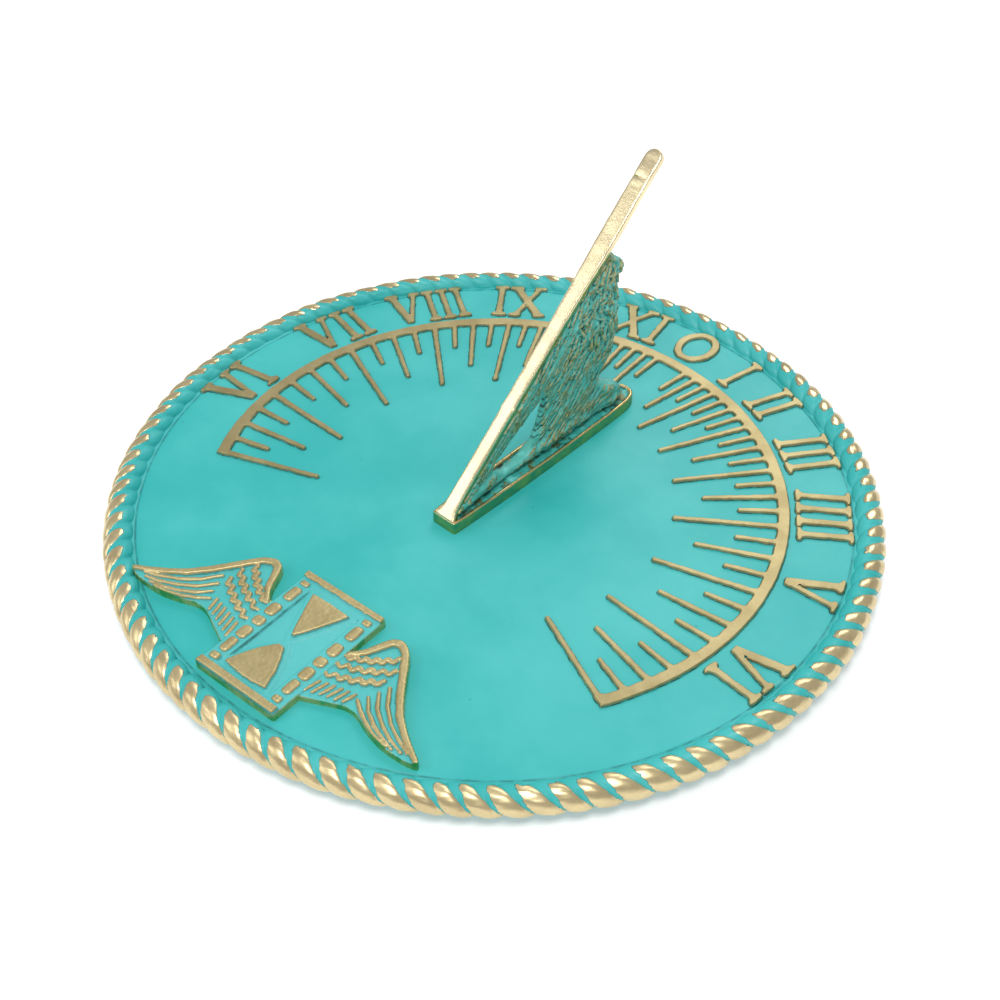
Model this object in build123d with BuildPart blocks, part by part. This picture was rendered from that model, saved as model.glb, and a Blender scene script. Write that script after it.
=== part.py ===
"""Garden sundial: a cast brass dial with a rope rim, an eagle gnomon and a winged hourglass.

The dial lies flat, north towards +Y and noon near the +Y axis.  The hour ring, hour lines,
numerals and rope rim are one casting with the disc.  The gnomon and the winged hourglass are
separate castings held by screws that come up through the disc from its hollow underside.
"""
import os
from math import atan2, cos, degrees, hypot, radians, sin, sqrt, tan

from build123d import *

os.makedirs("parts", exist_ok=True)

# ---- the disc ----
dial_diameter = 254.0          # over the rope rim, a ten inch dial
dial_radius = dial_diameter / 2
face_z = 8.0                   # height of the flat face over the table
web = 3.2                      # thickness of the disc under the face
web_z = face_z - web
recess_radius = 109.0          # hollow underside
foot_ring_inner = 111.0        # the ring the dial stands on
foot_ring_outer = 120.5

# ---- the rope rim ----
rope_reach = 4.9               # half the rope's width, across the rim
rope_radius = dial_radius - rope_reach
rope_core = 2.9
rope_z = face_z - 1.2
rope_lobes = 96
lobe_long = 5.5
lobe_thick = 3.7
lobe_lay = 52.0                # slant of the strands away from the rim's own direction

# ---- hour ring, lines and numerals, all raised from the face ----
relief = 1.1
ring_outer = 96.4
ring_inner = 92.5
line_width = 1.6
long_tip, half_tip, quarter_tip = 59.0, 68.0, 79.5
am_origin, am_latitude, am_turn = (-0.1, -16.4), 42.0, 0.0
pm_origin, pm_latitude, pm_turn = (-1.6, -9.2), 46.4, 2.8
first_hour, last_hour = 5.0, 19.0
numeral_inner = 98.4
numeral_height = 18.8
stem = 2.5
serif = 1.5
numerals = (("VI", -101.2), ("VII", -76.6), ("VIII", -56.6), ("IX", -37.7), ("X", -24.5), ("XI", -12.2),
            ("O", 0.9), ("I", 12.4), ("II", 22.6), ("III", 37.5), ("IIII", 54.2), ("V", 72.2), ("VI", 93.6))

# ---- gnomon ----
gnomon_x = 0.0
style_angle = 42.4             # the dial's latitude
style_thick = 2.8
style_half = 2.4
style_tip_half = 3.1
style_length = 134.4
nose_y = -24.3
toe_y = 69.0
foot_thick = 4.4
foot_half = 6.0
nose_half = 5.0
bird_half = 3.5
feather_web_half = 1.7

# ---- winged hourglass ----
emblem_x, emblem_y, emblem_turn = 2.5, -90.7, 3.4
block_half_x, block_half_y = 15.6, 23.2
panel_thick = 2.5
wing_thick = 3.1
emblem_thick = 4.0
post_x = 12.6

# ---- fasteners ----
thread_gap = 0.05              # round a screw's thread in its tapped hole
shank_gap = 0.35               # round a screw where it passes through the disc
washer_gap = 0.25
gnomon_thread_r = 2.0          # M4
gnomon_bite = 3.1              # thread inside the gnomon's foot
gnomon_screw_y = (-13.0, 57.0)
emblem_thread_r = 1.5          # M3
emblem_bite = 2.0
emblem_screw_u = 24.0
emblem_screw_v = 2.0
hole_spare = 0.4               # left below each screw's end
washer_thick = 0.8
head_thick = 2.3

# ---- tapped bosses for a pedestal ----
mount_pcd = 150.0
mount_count = 3
mount_hole_r = 2.5             # tapping size for M6
mount_boss_r = 7.5
mount_boss_z = 1.2
mount_hole_depth = 4.6

FACE = Plane.XY.offset(face_z)


def place(x, y):
    """A point of the winged hourglass, given in its own axes, on the dial's face."""
    a = radians(emblem_turn)
    return (emblem_x + x * cos(a) - y * sin(a), emblem_y + x * sin(a) + y * cos(a))


gnomon_screws = [(gnomon_x, y) for y in gnomon_screw_y]
emblem_screws = [place(-emblem_screw_u, emblem_screw_v), place(emblem_screw_u, emblem_screw_v)]


def hour_line(t):
    """Ends of the line for hour t: on the ring's middle, and at the tip nearer the gnomon."""
    if t < 12:
        (ox, oy), latitude, turn = am_origin, am_latitude, am_turn
    else:
        (ox, oy), latitude, turn = pm_origin, pm_latitude, pm_turn
    h = radians(15 * (t - 12))
    a = atan2(sin(radians(latitude)) * sin(h), cos(h)) + radians(turn)
    dx, dy = sin(a), cos(a)
    b = ox * dx + oy * dy
    quarter = round(t * 4) % 4
    tip = {0: long_tip, 2: half_tip}.get(quarter, quarter_tip)
    ends = []
    for r in ((ring_outer + ring_inner) / 2, tip):
        reach = -b + sqrt(b * b + r * r - ox * ox - oy * oy)
        ends.append((ox + reach * dx, oy + reach * dy))
    return ends


hours = [first_hour + k / 4 for k in range(int(4 * (last_hour - first_hour)) + 1)]
hours.remove(12.0)


def bearing(p):
    """Clockwise angle from noon of a point on the face."""
    return degrees(atan2(p[0], p[1]))


# ============================== dial plate ==============================
with BuildPart() as rope_lobe:
    with BuildSketch(Plane.XZ):
        with BuildLine():
            Spline(*[(lobe_long * cos(radians(a)), lobe_thick * sin(radians(a))) for a in range(0, 181, 15)],
                   tangents=((0, 1), (0, -1)))
            Line((-lobe_long, 0), (lobe_long, 0))
        make_face()
    revolve(axis=Axis.X)

with BuildPart() as dial_plate:
    with BuildSketch(Plane.XZ):
        with BuildLine():
            Polyline((0, web_z), (recess_radius, web_z), (foot_ring_inner, 0), (foot_ring_outer, 0),
                     (rope_radius, rope_z - rope_core + 0.8), (rope_radius, face_z), (0, face_z), close=True)
        make_face()
    revolve(axis=Axis.Z)
    with BuildSketch(Plane.XZ):
        with Locations((rope_radius, rope_z)):
            Circle(rope_core)
    revolve(axis=Axis.Z)
    # the rope's strands, laid round the rim
    slant = Location((0, 0, 0), (0, 0, 90 - lobe_lay)) * Location((0, 0, 0), (25, 0, 0))
    lobes = [Location((0, 0, rope_z)) * spot * slant * rope_lobe.part
             for spot in PolarLocations(rope_radius, rope_lobes)]
    add(lobes)

    # hour ring, open at the foot of the dial, and the lines that hang from it
    ring_start = bearing(hour_line(first_hour)[0])
    ring_end = bearing(hour_line(last_hour)[0])
    ring_middle = (ring_outer + ring_inner) / 2
    with BuildSketch(FACE.offset(-0.2)) as scale:
        with BuildLine():
            CenterArc((0, 0), ring_middle, 90 - ring_end, ring_end - ring_start)
        trace(line_width=ring_outer - ring_inner)
        for hour in hours:
            (x0, y0), (x1, y1) = hour_line(hour)
            with Locations(((x0 + x1) / 2, (y0 + y1) / 2)):
                SlotOverall(hypot(x1 - x0, y1 - y0) + line_width, line_width,
                            rotation=degrees(atan2(y1 - y0, x1 - x0)))
    extrude(amount=relief + 0.2)

    # serifed numerals, feet towards the middle
    with BuildSketch(FACE.offset(-0.2)) as figures:
        for text, angle in numerals:
            widths = {"I": 6.2, "V": 14.8, "X": 14.4, "O": 15.6}
            x = -sum(widths[c] for c in text) / 2
            mid = numeral_inner + numeral_height / 2
            with Locations(Location((0, 0, 0), (0, 0, -angle))):
                for c in text:
                    cx = x + widths[c] / 2
                    x += widths[c]
                    half = numeral_height / 2
                    if c == "I":
                        with Locations((cx, mid)):
                            Rectangle(stem, numeral_height)
                        with Locations((cx, mid - half + serif / 2), (cx, mid + half - serif / 2)):
                            Rectangle(5.4, serif)
                    if c == "V":
                        with Locations((cx, mid)):
                            Polygon((-6.2, half), (-3.2, half), (0.2, -half + 4.6), (3.6, half), (6.2, half),
                                    (1.4, -half), (-1.4, -half), align=None)
                        with Locations((cx - 4.6, mid + half - serif / 2), (cx + 4.8, mid + half - serif / 2)):
                            Rectangle(5.4, serif)
                    if c == "X":
                        with Locations((cx, mid)):
                            Polygon((-5.8, half), (-2.8, half), (5.8, -half), (2.8, -half), align=None)
                            Polygon((5.2, half), (3.0, half), (-5.2, -half), (-3.0, -half), align=None)
                        with Locations((cx - 4.4, mid + half - serif / 2), (cx + 4.2, mid + half - serif / 2),
                                       (cx - 4.2, mid - half + serif / 2), (cx + 4.4, mid - half + serif / 2)):
                            Rectangle(5.0, serif)
                    if c == "O":
                        with Locations((cx, mid)):
                            Ellipse(7.7, half)
                            Ellipse(7.7 - stem - 0.3, half - serif, mode=Mode.SUBTRACT)
    extrude(amount=relief + 0.2)

    # pads under the disc round the screws, and bosses for a pedestal's screws
    with BuildSketch(Plane.XY.offset(web_z)):
        with Locations(*gnomon_screws):
            Circle(6.5)
        with Locations(*emblem_screws):
            Circle(5.5)
    extrude(amount=-0.6, taper=20)
    with BuildSketch(Plane.XY.offset(web_z)):
        with PolarLocations(mount_pcd / 2, mount_count, start_angle=90):
            Circle(mount_boss_r)
    extrude(amount=mount_boss_z - web_z, taper=4)
    pad_z = web_z - 0.6

    # clearance holes for the screws, tapped holes for a pedestal
    with Locations(*[(x, y, web_z) for x, y in gnomon_screws]):
        Cylinder(gnomon_thread_r + shank_gap, 12, mode=Mode.SUBTRACT)
    with Locations(*[(x, y, web_z) for x, y in emblem_screws]):
        Cylinder(emblem_thread_r + shank_gap, 12, mode=Mode.SUBTRACT)
    with BuildSketch(Plane.XY.offset(mount_boss_z)):
        with PolarLocations(mount_pcd / 2, mount_count, start_angle=90):
            Circle(mount_hole_r)
    extrude(amount=mount_hole_depth, mode=Mode.SUBTRACT)

# ============================== gnomon ==============================
SIDE = Plane(origin=(gnomon_x, 0, face_z), x_dir=(0, 1, 0), z_dir=(1, 0, 0))
slope = tan(radians(style_angle))
STYLE = Plane(origin=(gnomon_x, nose_y, face_z + foot_thick), x_dir=(1, 0, 0),
              z_dir=(0, -sin(radians(style_angle)), cos(radians(style_angle))))


def under_style(y, drop):
    """A point in the side view, a height drop below the style's top face."""
    return (y, foot_thick + slope * (y - nose_y) - drop)


with BuildPart() as gnomon:
    # foot: a long flange with a square nose to the south and a round toe to the north
    with BuildSketch(Plane((gnomon_x, 0, face_z))) as foot:
        Polygon((-nose_half, nose_y), (nose_half, nose_y), (foot_half, 0), (foot_half - 0.3, toe_y),
                (0.3 - foot_half, toe_y), (-foot_half, 0), align=None)
        fillet(foot.vertices().sort_by(Axis.Y)[:2], radius=0.8)
        fillet(foot.vertices().sort_by(Axis.Y)[-2:], radius=foot_half - 0.6)
    extrude(amount=foot_thick)
    chamfer(gnomon.edges().group_by(Axis.Z)[-1], length=0.6)
    # style: a flat bar that widens to a rounded tip
    with BuildSketch(STYLE):
        with BuildLine():
            Polyline((-style_tip_half, style_length - 3), (-style_half, 60), (-style_half, 0.6),
                     (style_half, 0.6), (style_half, 60), (style_tip_half, style_length - 3))
            ThreePointArc((style_tip_half, style_length - 3), (0, style_length),
                          (-style_tip_half, style_length - 3))
        make_face()
    extrude(amount=-style_thick)
    # feathered web between the style and the foot, open behind the tail
    with BuildSketch(SIDE):
        with BuildLine():
            Polyline(under_style(-20, 1.5), under_style(48, 1.5), (50.0, 70.0), (53, 61), (55, 45),
                     (51, 25), (49.0, 15), (53, foot_thick - 1), (-20, foot_thick - 1), close=True)
        make_face()
    extrude(amount=feather_web_half, both=True)
    # the bird: head, breast and wing, fuller than the web
    with BuildSketch(SIDE):
        with BuildLine():
            Polyline(under_style(17, 5.0), under_style(39, 5.0), (43.5, 64.0), (48.8, 70.0), (51.6, 69.6),
                     (54.8, 64.4), (58.6, 60.0), (57.8, 57.2), (55.4, 55.8), (54.8, 52.5),
                     (57.5, 45.4), (58.5, 37.8), (57.2, 30.2), (53.6, 25.0), (50.2, 19.5), (42.0, 13.4),
                     (31.0, 12.0), (12.0, 10.0), (-2.0, 12.0), close=True)
        make_face()
    extrude(amount=bird_half - 0.8, both=True)
    # wing and breast in higher relief, with feathers standing from them
    with BuildSketch(SIDE):
        Polygon((13.0, 28.6), (24.0, 40.0), (35.0, 50.6), (46.5, 57.0), (53.0, 53.0), (56.2, 44.0), (56.2, 35.0),
                (52.4, 28.0), (46.0, 26.6), (36.0, 28.4), (25.0, 28.8), align=None)
    extrude(amount=bird_half, both=True)
    for row in range(9):
        start_y, start_z = 51.0 - 1.3 * row, 50.0 - 3.0 * row
        length = 38.0 - 1.6 * row
        lie = 180 + style_angle - 2.2 * row
        middle_y = start_y + length / 2 * cos(radians(lie))
        middle_z = start_z + length / 2 * sin(radians(lie))
        with BuildSketch(SIDE):
            with Locations((middle_y, middle_z)):
                SlotOverall(length, 1.3, rotation=lie)
        extrude(amount=bird_half + 0.5, both=True)
    # tail feathers sweeping down behind the legs
    for row in range(5):
        lie = 214 - 2 * row
        with BuildSketch(SIDE):
            with Locations((43.0 - 4.0 * row, 20.8 - 0.9 * row)):
                SlotOverall(15.0, 1.3, rotation=lie)
        extrude(amount=bird_half - 0.2, both=True)
    # branch along the foot and the rock at the toe
    with BuildSketch(SIDE):
        Polygon((-14.0, 5.4), (-5.0, 8.4), (6.0, 9.9), (24.0, 10.7), (46.0, 13.0), (46.0, 10.0),
                (24.0, 7.7), (6.0, 6.7), (-5.0, 5.2), align=None)
    extrude(amount=bird_half - 0.4, both=True)
    with BuildSketch(SIDE):
        with BuildLine():
            Polyline((43, foot_thick - 1), (45.5, 12.0), (49.5, 16.4), (54.0, 14.8), (58.0, 12.4), (61.5, 9.8),
                     (64.8, foot_thick - 1), close=True)
        make_face()
    extrude(amount=bird_half + 0.7, both=True)
    # the head: brow, eye and hooked beak
    with BuildSketch(SIDE):
        Polygon((45.8, 63.0), (48.6, 67.6), (51.4, 67.4), (53.9, 64.2), (54.2, 58.4), (51.4, 55.0),
                (47.6, 56.0), align=None)
    extrude(amount=bird_half - 0.1, both=True)
    with Locations((gnomon_x - bird_half + 0.1, 51.4, face_z + 63.4),
                   (gnomon_x + bird_half - 0.1, 51.4, face_z + 63.4)):
        Sphere(0.9)
    # the opening behind the tail, right through
    with BuildSketch(SIDE):
        Polygon((18.3, 22.0), (3.6, 15.4), (-3.4, 9.6), (7.6, 10.9), (14.4, 11.6), align=None)
    extrude(amount=2 * bird_half, both=True, mode=Mode.SUBTRACT)
    # tapped blind holes for the screws from below
    with Locations(*[(x, y, face_z + (gnomon_bite + hole_spare) / 2 - 0.5) for x, y in gnomon_screws]):
        Cylinder(gnomon_thread_r + thread_gap, gnomon_bite + hole_spare + 1.0, mode=Mode.SUBTRACT)

# ============================== winged hourglass ==============================
EMBLEM = Plane(origin=(emblem_x, emblem_y, face_z),
               x_dir=(cos(radians(emblem_turn)), sin(radians(emblem_turn)), 0), z_dir=(0, 0, 1))
wing_edge = ((block_half_x - 2, 6.3), (19.0, 10.0), (20.6, 14.4), (22.3, 18.3), (25.7, 19.9), (29.7, 17.5),
             (34.0, 11.6), (38.3, 5.3), (43.2, -0.6), (48.2, -4.5), (53.0, -7.6), (57.0, -9.8))
wing_under = ((57.0, -9.8), (51.5, -11.6), (44.0, -11.6), (37.5, -10.0), (32.3, -7.8), (28.2, -7.6),
              (24.5, -9.3), (20.0, -11.4), (block_half_x - 2, -13.5))

with BuildPart() as winged_hourglass:
    with BuildSketch(EMBLEM):
        for side in (-1, 1):
            with BuildLine():
                Spline(*[(side * x, y) for x, y in wing_edge])
                Spline(*[(side * x, y) for x, y in wing_under])
                Line((side * (block_half_x - 2), -13.5), (side * (block_half_x - 2), 6.3))
            make_face()
    extrude(amount=wing_thick - 0.5)
    with BuildSketch(EMBLEM):
        Rectangle(2 * block_half_x, 2 * block_half_y)
    extrude(amount=panel_thick)
    # caps of the hourglass and the sand, flat topped
    with BuildSketch(EMBLEM):
        for side in (-1, 1):
            with Locations((0, side * (block_half_y - 1.1))):
                Rectangle(2 * block_half_x, 2.2)
    extrude(amount=emblem_thick)
    with BuildSketch(EMBLEM):
        Polygon((-7.6, 16.2), (7.6, 16.2), (0.8, -0.4), (-0.8, -0.4), align=None)
        with BuildLine():
            Polyline((-8.4, -17.5), (8.4, -17.5))
            Spline((8.4, -17.5), (5.4, -9.0), (0.9, -3.2))
            Line((0.9, -3.2), (-0.9, -3.2))
            Spline((-0.9, -3.2), (-5.4, -9.0), (-8.4, -17.5))
        make_face()
    extrude(amount=panel_thick + 0.9)
    # beaded posts
    for side in (-1, 1):
        for y, width, height in ((18.4, 3.4, 2.2), (13.0, 3.2, 5.6), (4.8, 4.2, 4.6), (-0.7, 4.4, 3.4),
                                 (-6.0, 4.2, 4.2), (-12.4, 3.2, 4.2), (-17.4, 3.6, 3.0)):
            with BuildSketch(EMBLEM):
                with Locations((side * post_x, y)):
                    RectangleRounded(width, height, 1.0)
            extrude(amount=emblem_thick - 0.4)
    # leading edge, coverts and flight feathers of each wing
    for side in (-1, 1):
        with BuildSketch(EMBLEM):
            with BuildLine():
                Spline(*[(side * (x - 0.9), y - 0.9) for x, y in wing_edge[3:-1]])
            trace(line_width=1.5)
        extrude(amount=wing_thick + 0.4)
        for row in range(3):
            for k in range(6):
                u = 28.8 - 2.4 * k - 0.4 * row
                v = 13.4 - 1.35 * k - 4.2 * row
                with Locations(EMBLEM * Location((side * u, v, wing_thick - 0.9))):
                    Cylinder(1.15, 1.8)
        for k in range(5):
            with BuildSketch(EMBLEM):
                with Locations((side * (28.0 - 2.7 * k), -4.0 - 1.35 * k)):
                    SlotOverall(7.4 - 0.4 * k, 1.1, rotation=90 + side * 3)
            extrude(amount=wing_thick + 0.1)
        for k in range(4):
            with BuildSketch(EMBLEM):
                with BuildLine():
                    ThreePointArc((side * (33.2 - 0.7 * k), 7.6 - 3.6 * k),
                                  (side * (39.8 - 1.6 * k), -2.0 - 1.9 * k),
                                  (side * (51.0 - 4.4 * k), -8.6 - 0.5 * k))
                trace(line_width=0.9)
            extrude(amount=wing_thick + 0.1)
    with Locations(*[(x, y, face_z + (emblem_bite + hole_spare) / 2 - 0.5) for x, y in emblem_screws]):
        Cylinder(emblem_thread_r + thread_gap, emblem_bite + hole_spare + 1.0, mode=Mode.SUBTRACT)

# ============================== screws and washers ==============================
fasteners = {}
for kind, spots, thread_r, bite, sides in (
        ("gnomon", gnomon_screws, gnomon_thread_r, gnomon_bite, ("south", "north")),
        ("hourglass", emblem_screws, emblem_thread_r, emblem_bite, ("west", "east"))):
    for (x, y), which in zip(spots, sides):
        with BuildPart() as washer:
            with BuildSketch(Plane((x, y, pad_z))):
                Circle(2.2 * thread_r)
                Circle(thread_r + washer_gap, mode=Mode.SUBTRACT)
            extrude(amount=-washer_thick)
            chamfer(washer.edges().group_by(Axis.Z)[0].sort_by(SortBy.RADIUS)[-1:], length=0.2)
        seat = pad_z - washer_thick
        with BuildPart() as screw:
            with BuildSketch(Plane((x, y, seat))):
                Circle(1.95 * thread_r)
            extrude(amount=-head_thick)
            fillet(screw.edges().group_by(Axis.Z)[0], radius=0.8)
            with BuildSketch(Plane((x, y, seat))):
                Circle(thread_r)
            extrude(amount=face_z + bite - seat)
            chamfer(screw.edges().group_by(Axis.Z)[-1], length=0.3)
            # cross recess in the head
            with BuildSketch(Plane((x, y, seat - head_thick))):
                Rectangle(2.4 * thread_r, 0.45 * thread_r)
                Rectangle(0.45 * thread_r, 2.4 * thread_r)
            extrude(amount=1.2, mode=Mode.SUBTRACT)
        fasteners[f"{kind}_washer_{which}"] = washer.part
        fasteners[f"{kind}_screw_{which}"] = screw.part

dial_plate.part.label = "dial_plate"
gnomon.part.label = "gnomon"
winged_hourglass.part.label = "winged_hourglass"
export_step(dial_plate.part, "parts/dial_plate.step")
export_step(gnomon.part, "parts/gnomon.step")
export_step(winged_hourglass.part, "parts/winged_hourglass.step")
for name, solid in fasteners.items():
    solid.label = name
    export_step(solid, f"parts/{name}.step")
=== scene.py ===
import math

import bmesh
import bpy
import numpy as np
from mathutils import Matrix, Vector
from mathutils.geometry import delaunay_2d_cdt


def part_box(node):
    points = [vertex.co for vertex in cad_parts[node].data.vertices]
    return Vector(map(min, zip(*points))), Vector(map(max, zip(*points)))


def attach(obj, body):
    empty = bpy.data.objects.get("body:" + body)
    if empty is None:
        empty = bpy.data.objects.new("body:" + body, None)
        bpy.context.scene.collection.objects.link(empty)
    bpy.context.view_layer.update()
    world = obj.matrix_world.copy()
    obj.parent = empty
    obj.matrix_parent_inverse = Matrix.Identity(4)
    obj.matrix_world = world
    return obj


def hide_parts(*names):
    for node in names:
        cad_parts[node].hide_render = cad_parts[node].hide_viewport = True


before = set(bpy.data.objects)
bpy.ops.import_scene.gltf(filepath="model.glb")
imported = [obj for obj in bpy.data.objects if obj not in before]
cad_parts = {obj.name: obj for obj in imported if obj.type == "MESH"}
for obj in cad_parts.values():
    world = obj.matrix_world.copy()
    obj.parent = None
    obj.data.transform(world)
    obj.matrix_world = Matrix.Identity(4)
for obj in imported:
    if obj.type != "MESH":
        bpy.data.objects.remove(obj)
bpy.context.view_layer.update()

# ------------------------------------------------------------------------------------------
# The face of the dial: the flat of one brass casting, sprayed turquoise and left satin.
# It ends in a shallow seam where the rope rim begins.
# ------------------------------------------------------------------------------------------
face_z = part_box("gnomon")[0].z
mm = 0.001
rng = np.random.default_rng(7)


def add_piece(name, points, faces, marks=None, flat_tops=False, flat_sides=False):
    """One mesh object from points and faces, with named values between 0 and 1 on its points."""
    mesh = bpy.data.meshes.new(name)
    mesh.from_pydata([tuple(p) for p in np.asarray(points, float)], [], [tuple(int(i) for i in f) for f in faces])
    mesh.validate()
    for mark, values in (marks or {}).items():
        layer = mesh.attributes.new(mark, "FLOAT", "POINT")
        layer.data.foreach_set("value", np.asarray(values, np.float32))
    upright = [abs(p.normal.z) for p in mesh.polygons]
    mesh.polygons.foreach_set("use_smooth", [not (flat_tops and n > 0.995 or flat_sides and n < 0.25) for n in upright])
    piece = bpy.data.objects.new(name, mesh)
    bpy.context.scene.collection.objects.link(piece)
    return piece


def fitted(piece, node, material):
    """The piece rides with the sundial, hides the node of the frame it is drawn in place of, and takes its finish."""
    piece.data.materials.clear()
    piece.data.materials.append(material)
    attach(piece, "root")
    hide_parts(node)


def rows_to_faces(rows, columns, closed_columns=False):
    """Quads between rows of points laid one after another."""
    faces = []
    last = columns if closed_columns else columns - 1
    for i in range(rows - 1):
        for j in range(last):
            a = i * columns + j
            b = i * columns + (j + 1) % columns
            faces.append((a, b, b + columns, a + columns))
    return faces


def waviness(x, y, cells, seed):
    """Smooth value noise between -1 and 1, a few cells to the piece."""
    table = np.random.default_rng(seed).uniform(-1, 1, (64, 64))
    u, v = np.asarray(x, float) * cells + 17.0, np.asarray(y, float) * cells + 31.0
    i, j = np.floor(u).astype(int), np.floor(v).astype(int)
    s, t = u - i, v - j
    s, t = s * s * (3 - 2 * s), t * t * (3 - 2 * t)
    pick = lambda a, b: table[a % 64, b % 64]
    low = pick(i, j) * (1 - s) + pick(i + 1, j) * s
    high = pick(i, j + 1) * (1 - s) + pick(i + 1, j + 1) * s
    return low * (1 - t) + high * t


class Nodes:
    """Short way to lay out a material's or a group's nodes."""

    def __init__(self, tree):
        self.tree = tree

    def new(self, kind, **settings):
        node = self.tree.nodes.new(kind)
        for key, value in settings.items():
            if key.startswith("in_"):
                node.inputs[key[3:].replace("_", " ")].default_value = value
            else:
                setattr(node, key, value)
        return node

    def link(self, out, into):
        self.tree.links.new(out, into)

    def math(self, operation, a, b=None, clamp=False):
        node = self.tree.nodes.new("ShaderNodeMath")
        node.operation = operation
        node.use_clamp = clamp
        for socket, value in zip(node.inputs, (a, b)):
            if value is None:
                continue
            if isinstance(value, (int, float)):
                socket.default_value = value
            else:
                self.link(value, socket)
        return node.outputs[0]

    def mix(self, factor, a, b, blend="MIX"):
        node = self.tree.nodes.new("ShaderNodeMix")
        node.data_type = "RGBA"
        node.blend_type = blend
        for socket, value in ((node.inputs["Factor"], factor), (node.inputs[6], a), (node.inputs[7], b)):
            if isinstance(value, (int, float)):
                socket.default_value = value
            elif isinstance(value, tuple):
                socket.default_value = (*value, 1.0) if len(value) == 3 else value
            else:
                self.link(value, socket)
        return node.outputs[2]

    def ramp(self, value, low, high, to_low=0.0, to_high=1.0):
        node = self.tree.nodes.new("ShaderNodeMapRange")
        node.interpolation_type = "SMOOTHSTEP"
        self.link(value, node.inputs["Value"])
        for key, number in (("From Min", low), ("From Max", high), ("To Min", to_low), ("To Max", to_high)):
            node.inputs[key].default_value = number
        return node.outputs[0]

    def noise(self, place, scale, detail=4.0, roughness=0.55):
        node = self.new("ShaderNodeTexNoise")
        self.link(place, node.inputs["Vector"])
        node.inputs["Scale"].default_value = scale
        node.inputs["Detail"].default_value = detail
        node.inputs["Roughness"].default_value = roughness
        return node.outputs[0]


def new_group(name, inputs, outputs):
    """An effect shared by several finishes, with named inputs and outputs."""
    tree = bpy.data.node_groups.new(name, "ShaderNodeTree")
    for label, kind, value in inputs:
        socket = tree.interface.new_socket(label, in_out="INPUT", socket_type=kind)
        if value is not None:
            socket.default_value = value
    for label, kind in outputs:
        tree.interface.new_socket(label, in_out="OUTPUT", socket_type=kind)
    n = Nodes(tree)
    return tree, n, n.new("NodeGroupInput"), n.new("NodeGroupOutput")


# paint film: slight cloudiness of colour, dust specks and a fine orange peel
paint_film, n, into, out = new_group(
    "paint film",
    [("Place", "NodeSocketVector", None), ("Paint", "NodeSocketColor", (0.05, 0.5, 0.47, 1)),
     ("Dirt", "NodeSocketColor", (0.01, 0.12, 0.11, 1))],
    [("Color", "NodeSocketColor"), ("Roughness", "NodeSocketFloat"), ("Height", "NodeSocketFloat")])
cloud = n.noise(into.outputs["Place"], 22.0, 4.0, 0.6)
fine = n.noise(into.outputs["Place"], 900.0, 3.0, 0.6)
mottle = n.noise(into.outputs["Place"], 140.0, 4.0, 0.65)
dark = n.mix(0.12, into.outputs["Paint"], into.outputs["Dirt"])
light = n.mix(0.07, into.outputs["Paint"], (0.5, 0.95, 0.9))
shade = n.mix(n.ramp(cloud, 0.3, 0.72), dark, light)
shade = n.mix(n.math("MULTIPLY", n.ramp(mottle, 0.35, 0.7), 0.10), shade, into.outputs["Paint"])
speck = n.new("ShaderNodeTexVoronoi", feature="F1")
n.link(into.outputs["Place"], speck.inputs["Vector"])
speck.inputs["Scale"].default_value = 170.0
speck_size = n.math("MULTIPLY", n.ramp(speck.outputs["Distance"], 0.09, 0.045), n.ramp(mottle, 0.56, 0.66))
shade = n.mix(n.math("MULTIPLY", speck_size, 0.35), shade, into.outputs["Dirt"])
n.link(shade, out.inputs["Color"])
n.link(n.math("ADD", n.math("MULTIPLY", mottle, 0.10), 0.40), out.inputs["Roughness"])
peel = n.math("ADD", n.math("MULTIPLY", fine, 0.35), n.math("MULTIPLY", mottle, 0.65))
n.link(peel, out.inputs["Height"])

paint_color = (0.030, 0.500, 0.492)
dark_paint_tone = (0.004, 0.09, 0.085)


def surface(name):
    """A new material: its nodes and its Principled shader."""
    material = bpy.data.materials.new(name)
    material.use_nodes = True
    tree = material.node_tree
    tree.nodes.clear()
    n = Nodes(tree)
    shader = n.new("ShaderNodeBsdfPrincipled")
    output = n.new("ShaderNodeOutputMaterial")
    n.link(shader.outputs[0], output.inputs[0])
    place = n.new("ShaderNodeTexCoord").outputs["Object"]
    return material, n, shader, place


def bumped(n, shader, height, distance, strength=1.0):
    bump = n.new("ShaderNodeBump")
    bump.inputs["Strength"].default_value = strength
    bump.inputs["Distance"].default_value = distance
    n.link(height, bump.inputs["Height"])
    n.link(bump.outputs[0], shader.inputs["Normal"])


face_paint, n, shader, place = surface("turquoise paint")
film = n.new("ShaderNodeGroup", node_tree=paint_film)
n.link(place, film.inputs["Place"])
film.inputs["Paint"].default_value = (*paint_color, 1)
film.inputs["Dirt"].default_value = (*dark_paint_tone, 1)
# the seam at the rim is darkened in patches
seam = n.new("ShaderNodeAttribute", attribute_name="seam").outputs["Fac"]
seam_noise = n.noise(place, 260.0, 3.0)
seam_mask = n.math("MULTIPLY", n.ramp(seam, 0.35, 0.9), n.ramp(seam_noise, 0.38, 0.6, 0.35, 1.0))
n.link(n.mix(n.math("MULTIPLY", seam_mask, 0.55), film.outputs["Color"], dark_paint_tone), shader.inputs["Base Color"])
n.link(film.outputs["Roughness"], shader.inputs["Roughness"])
shader.inputs["Specular IOR Level"].default_value = 0.45
bumped(n, shader, film.outputs["Height"], 0.00006, 0.5)

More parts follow.
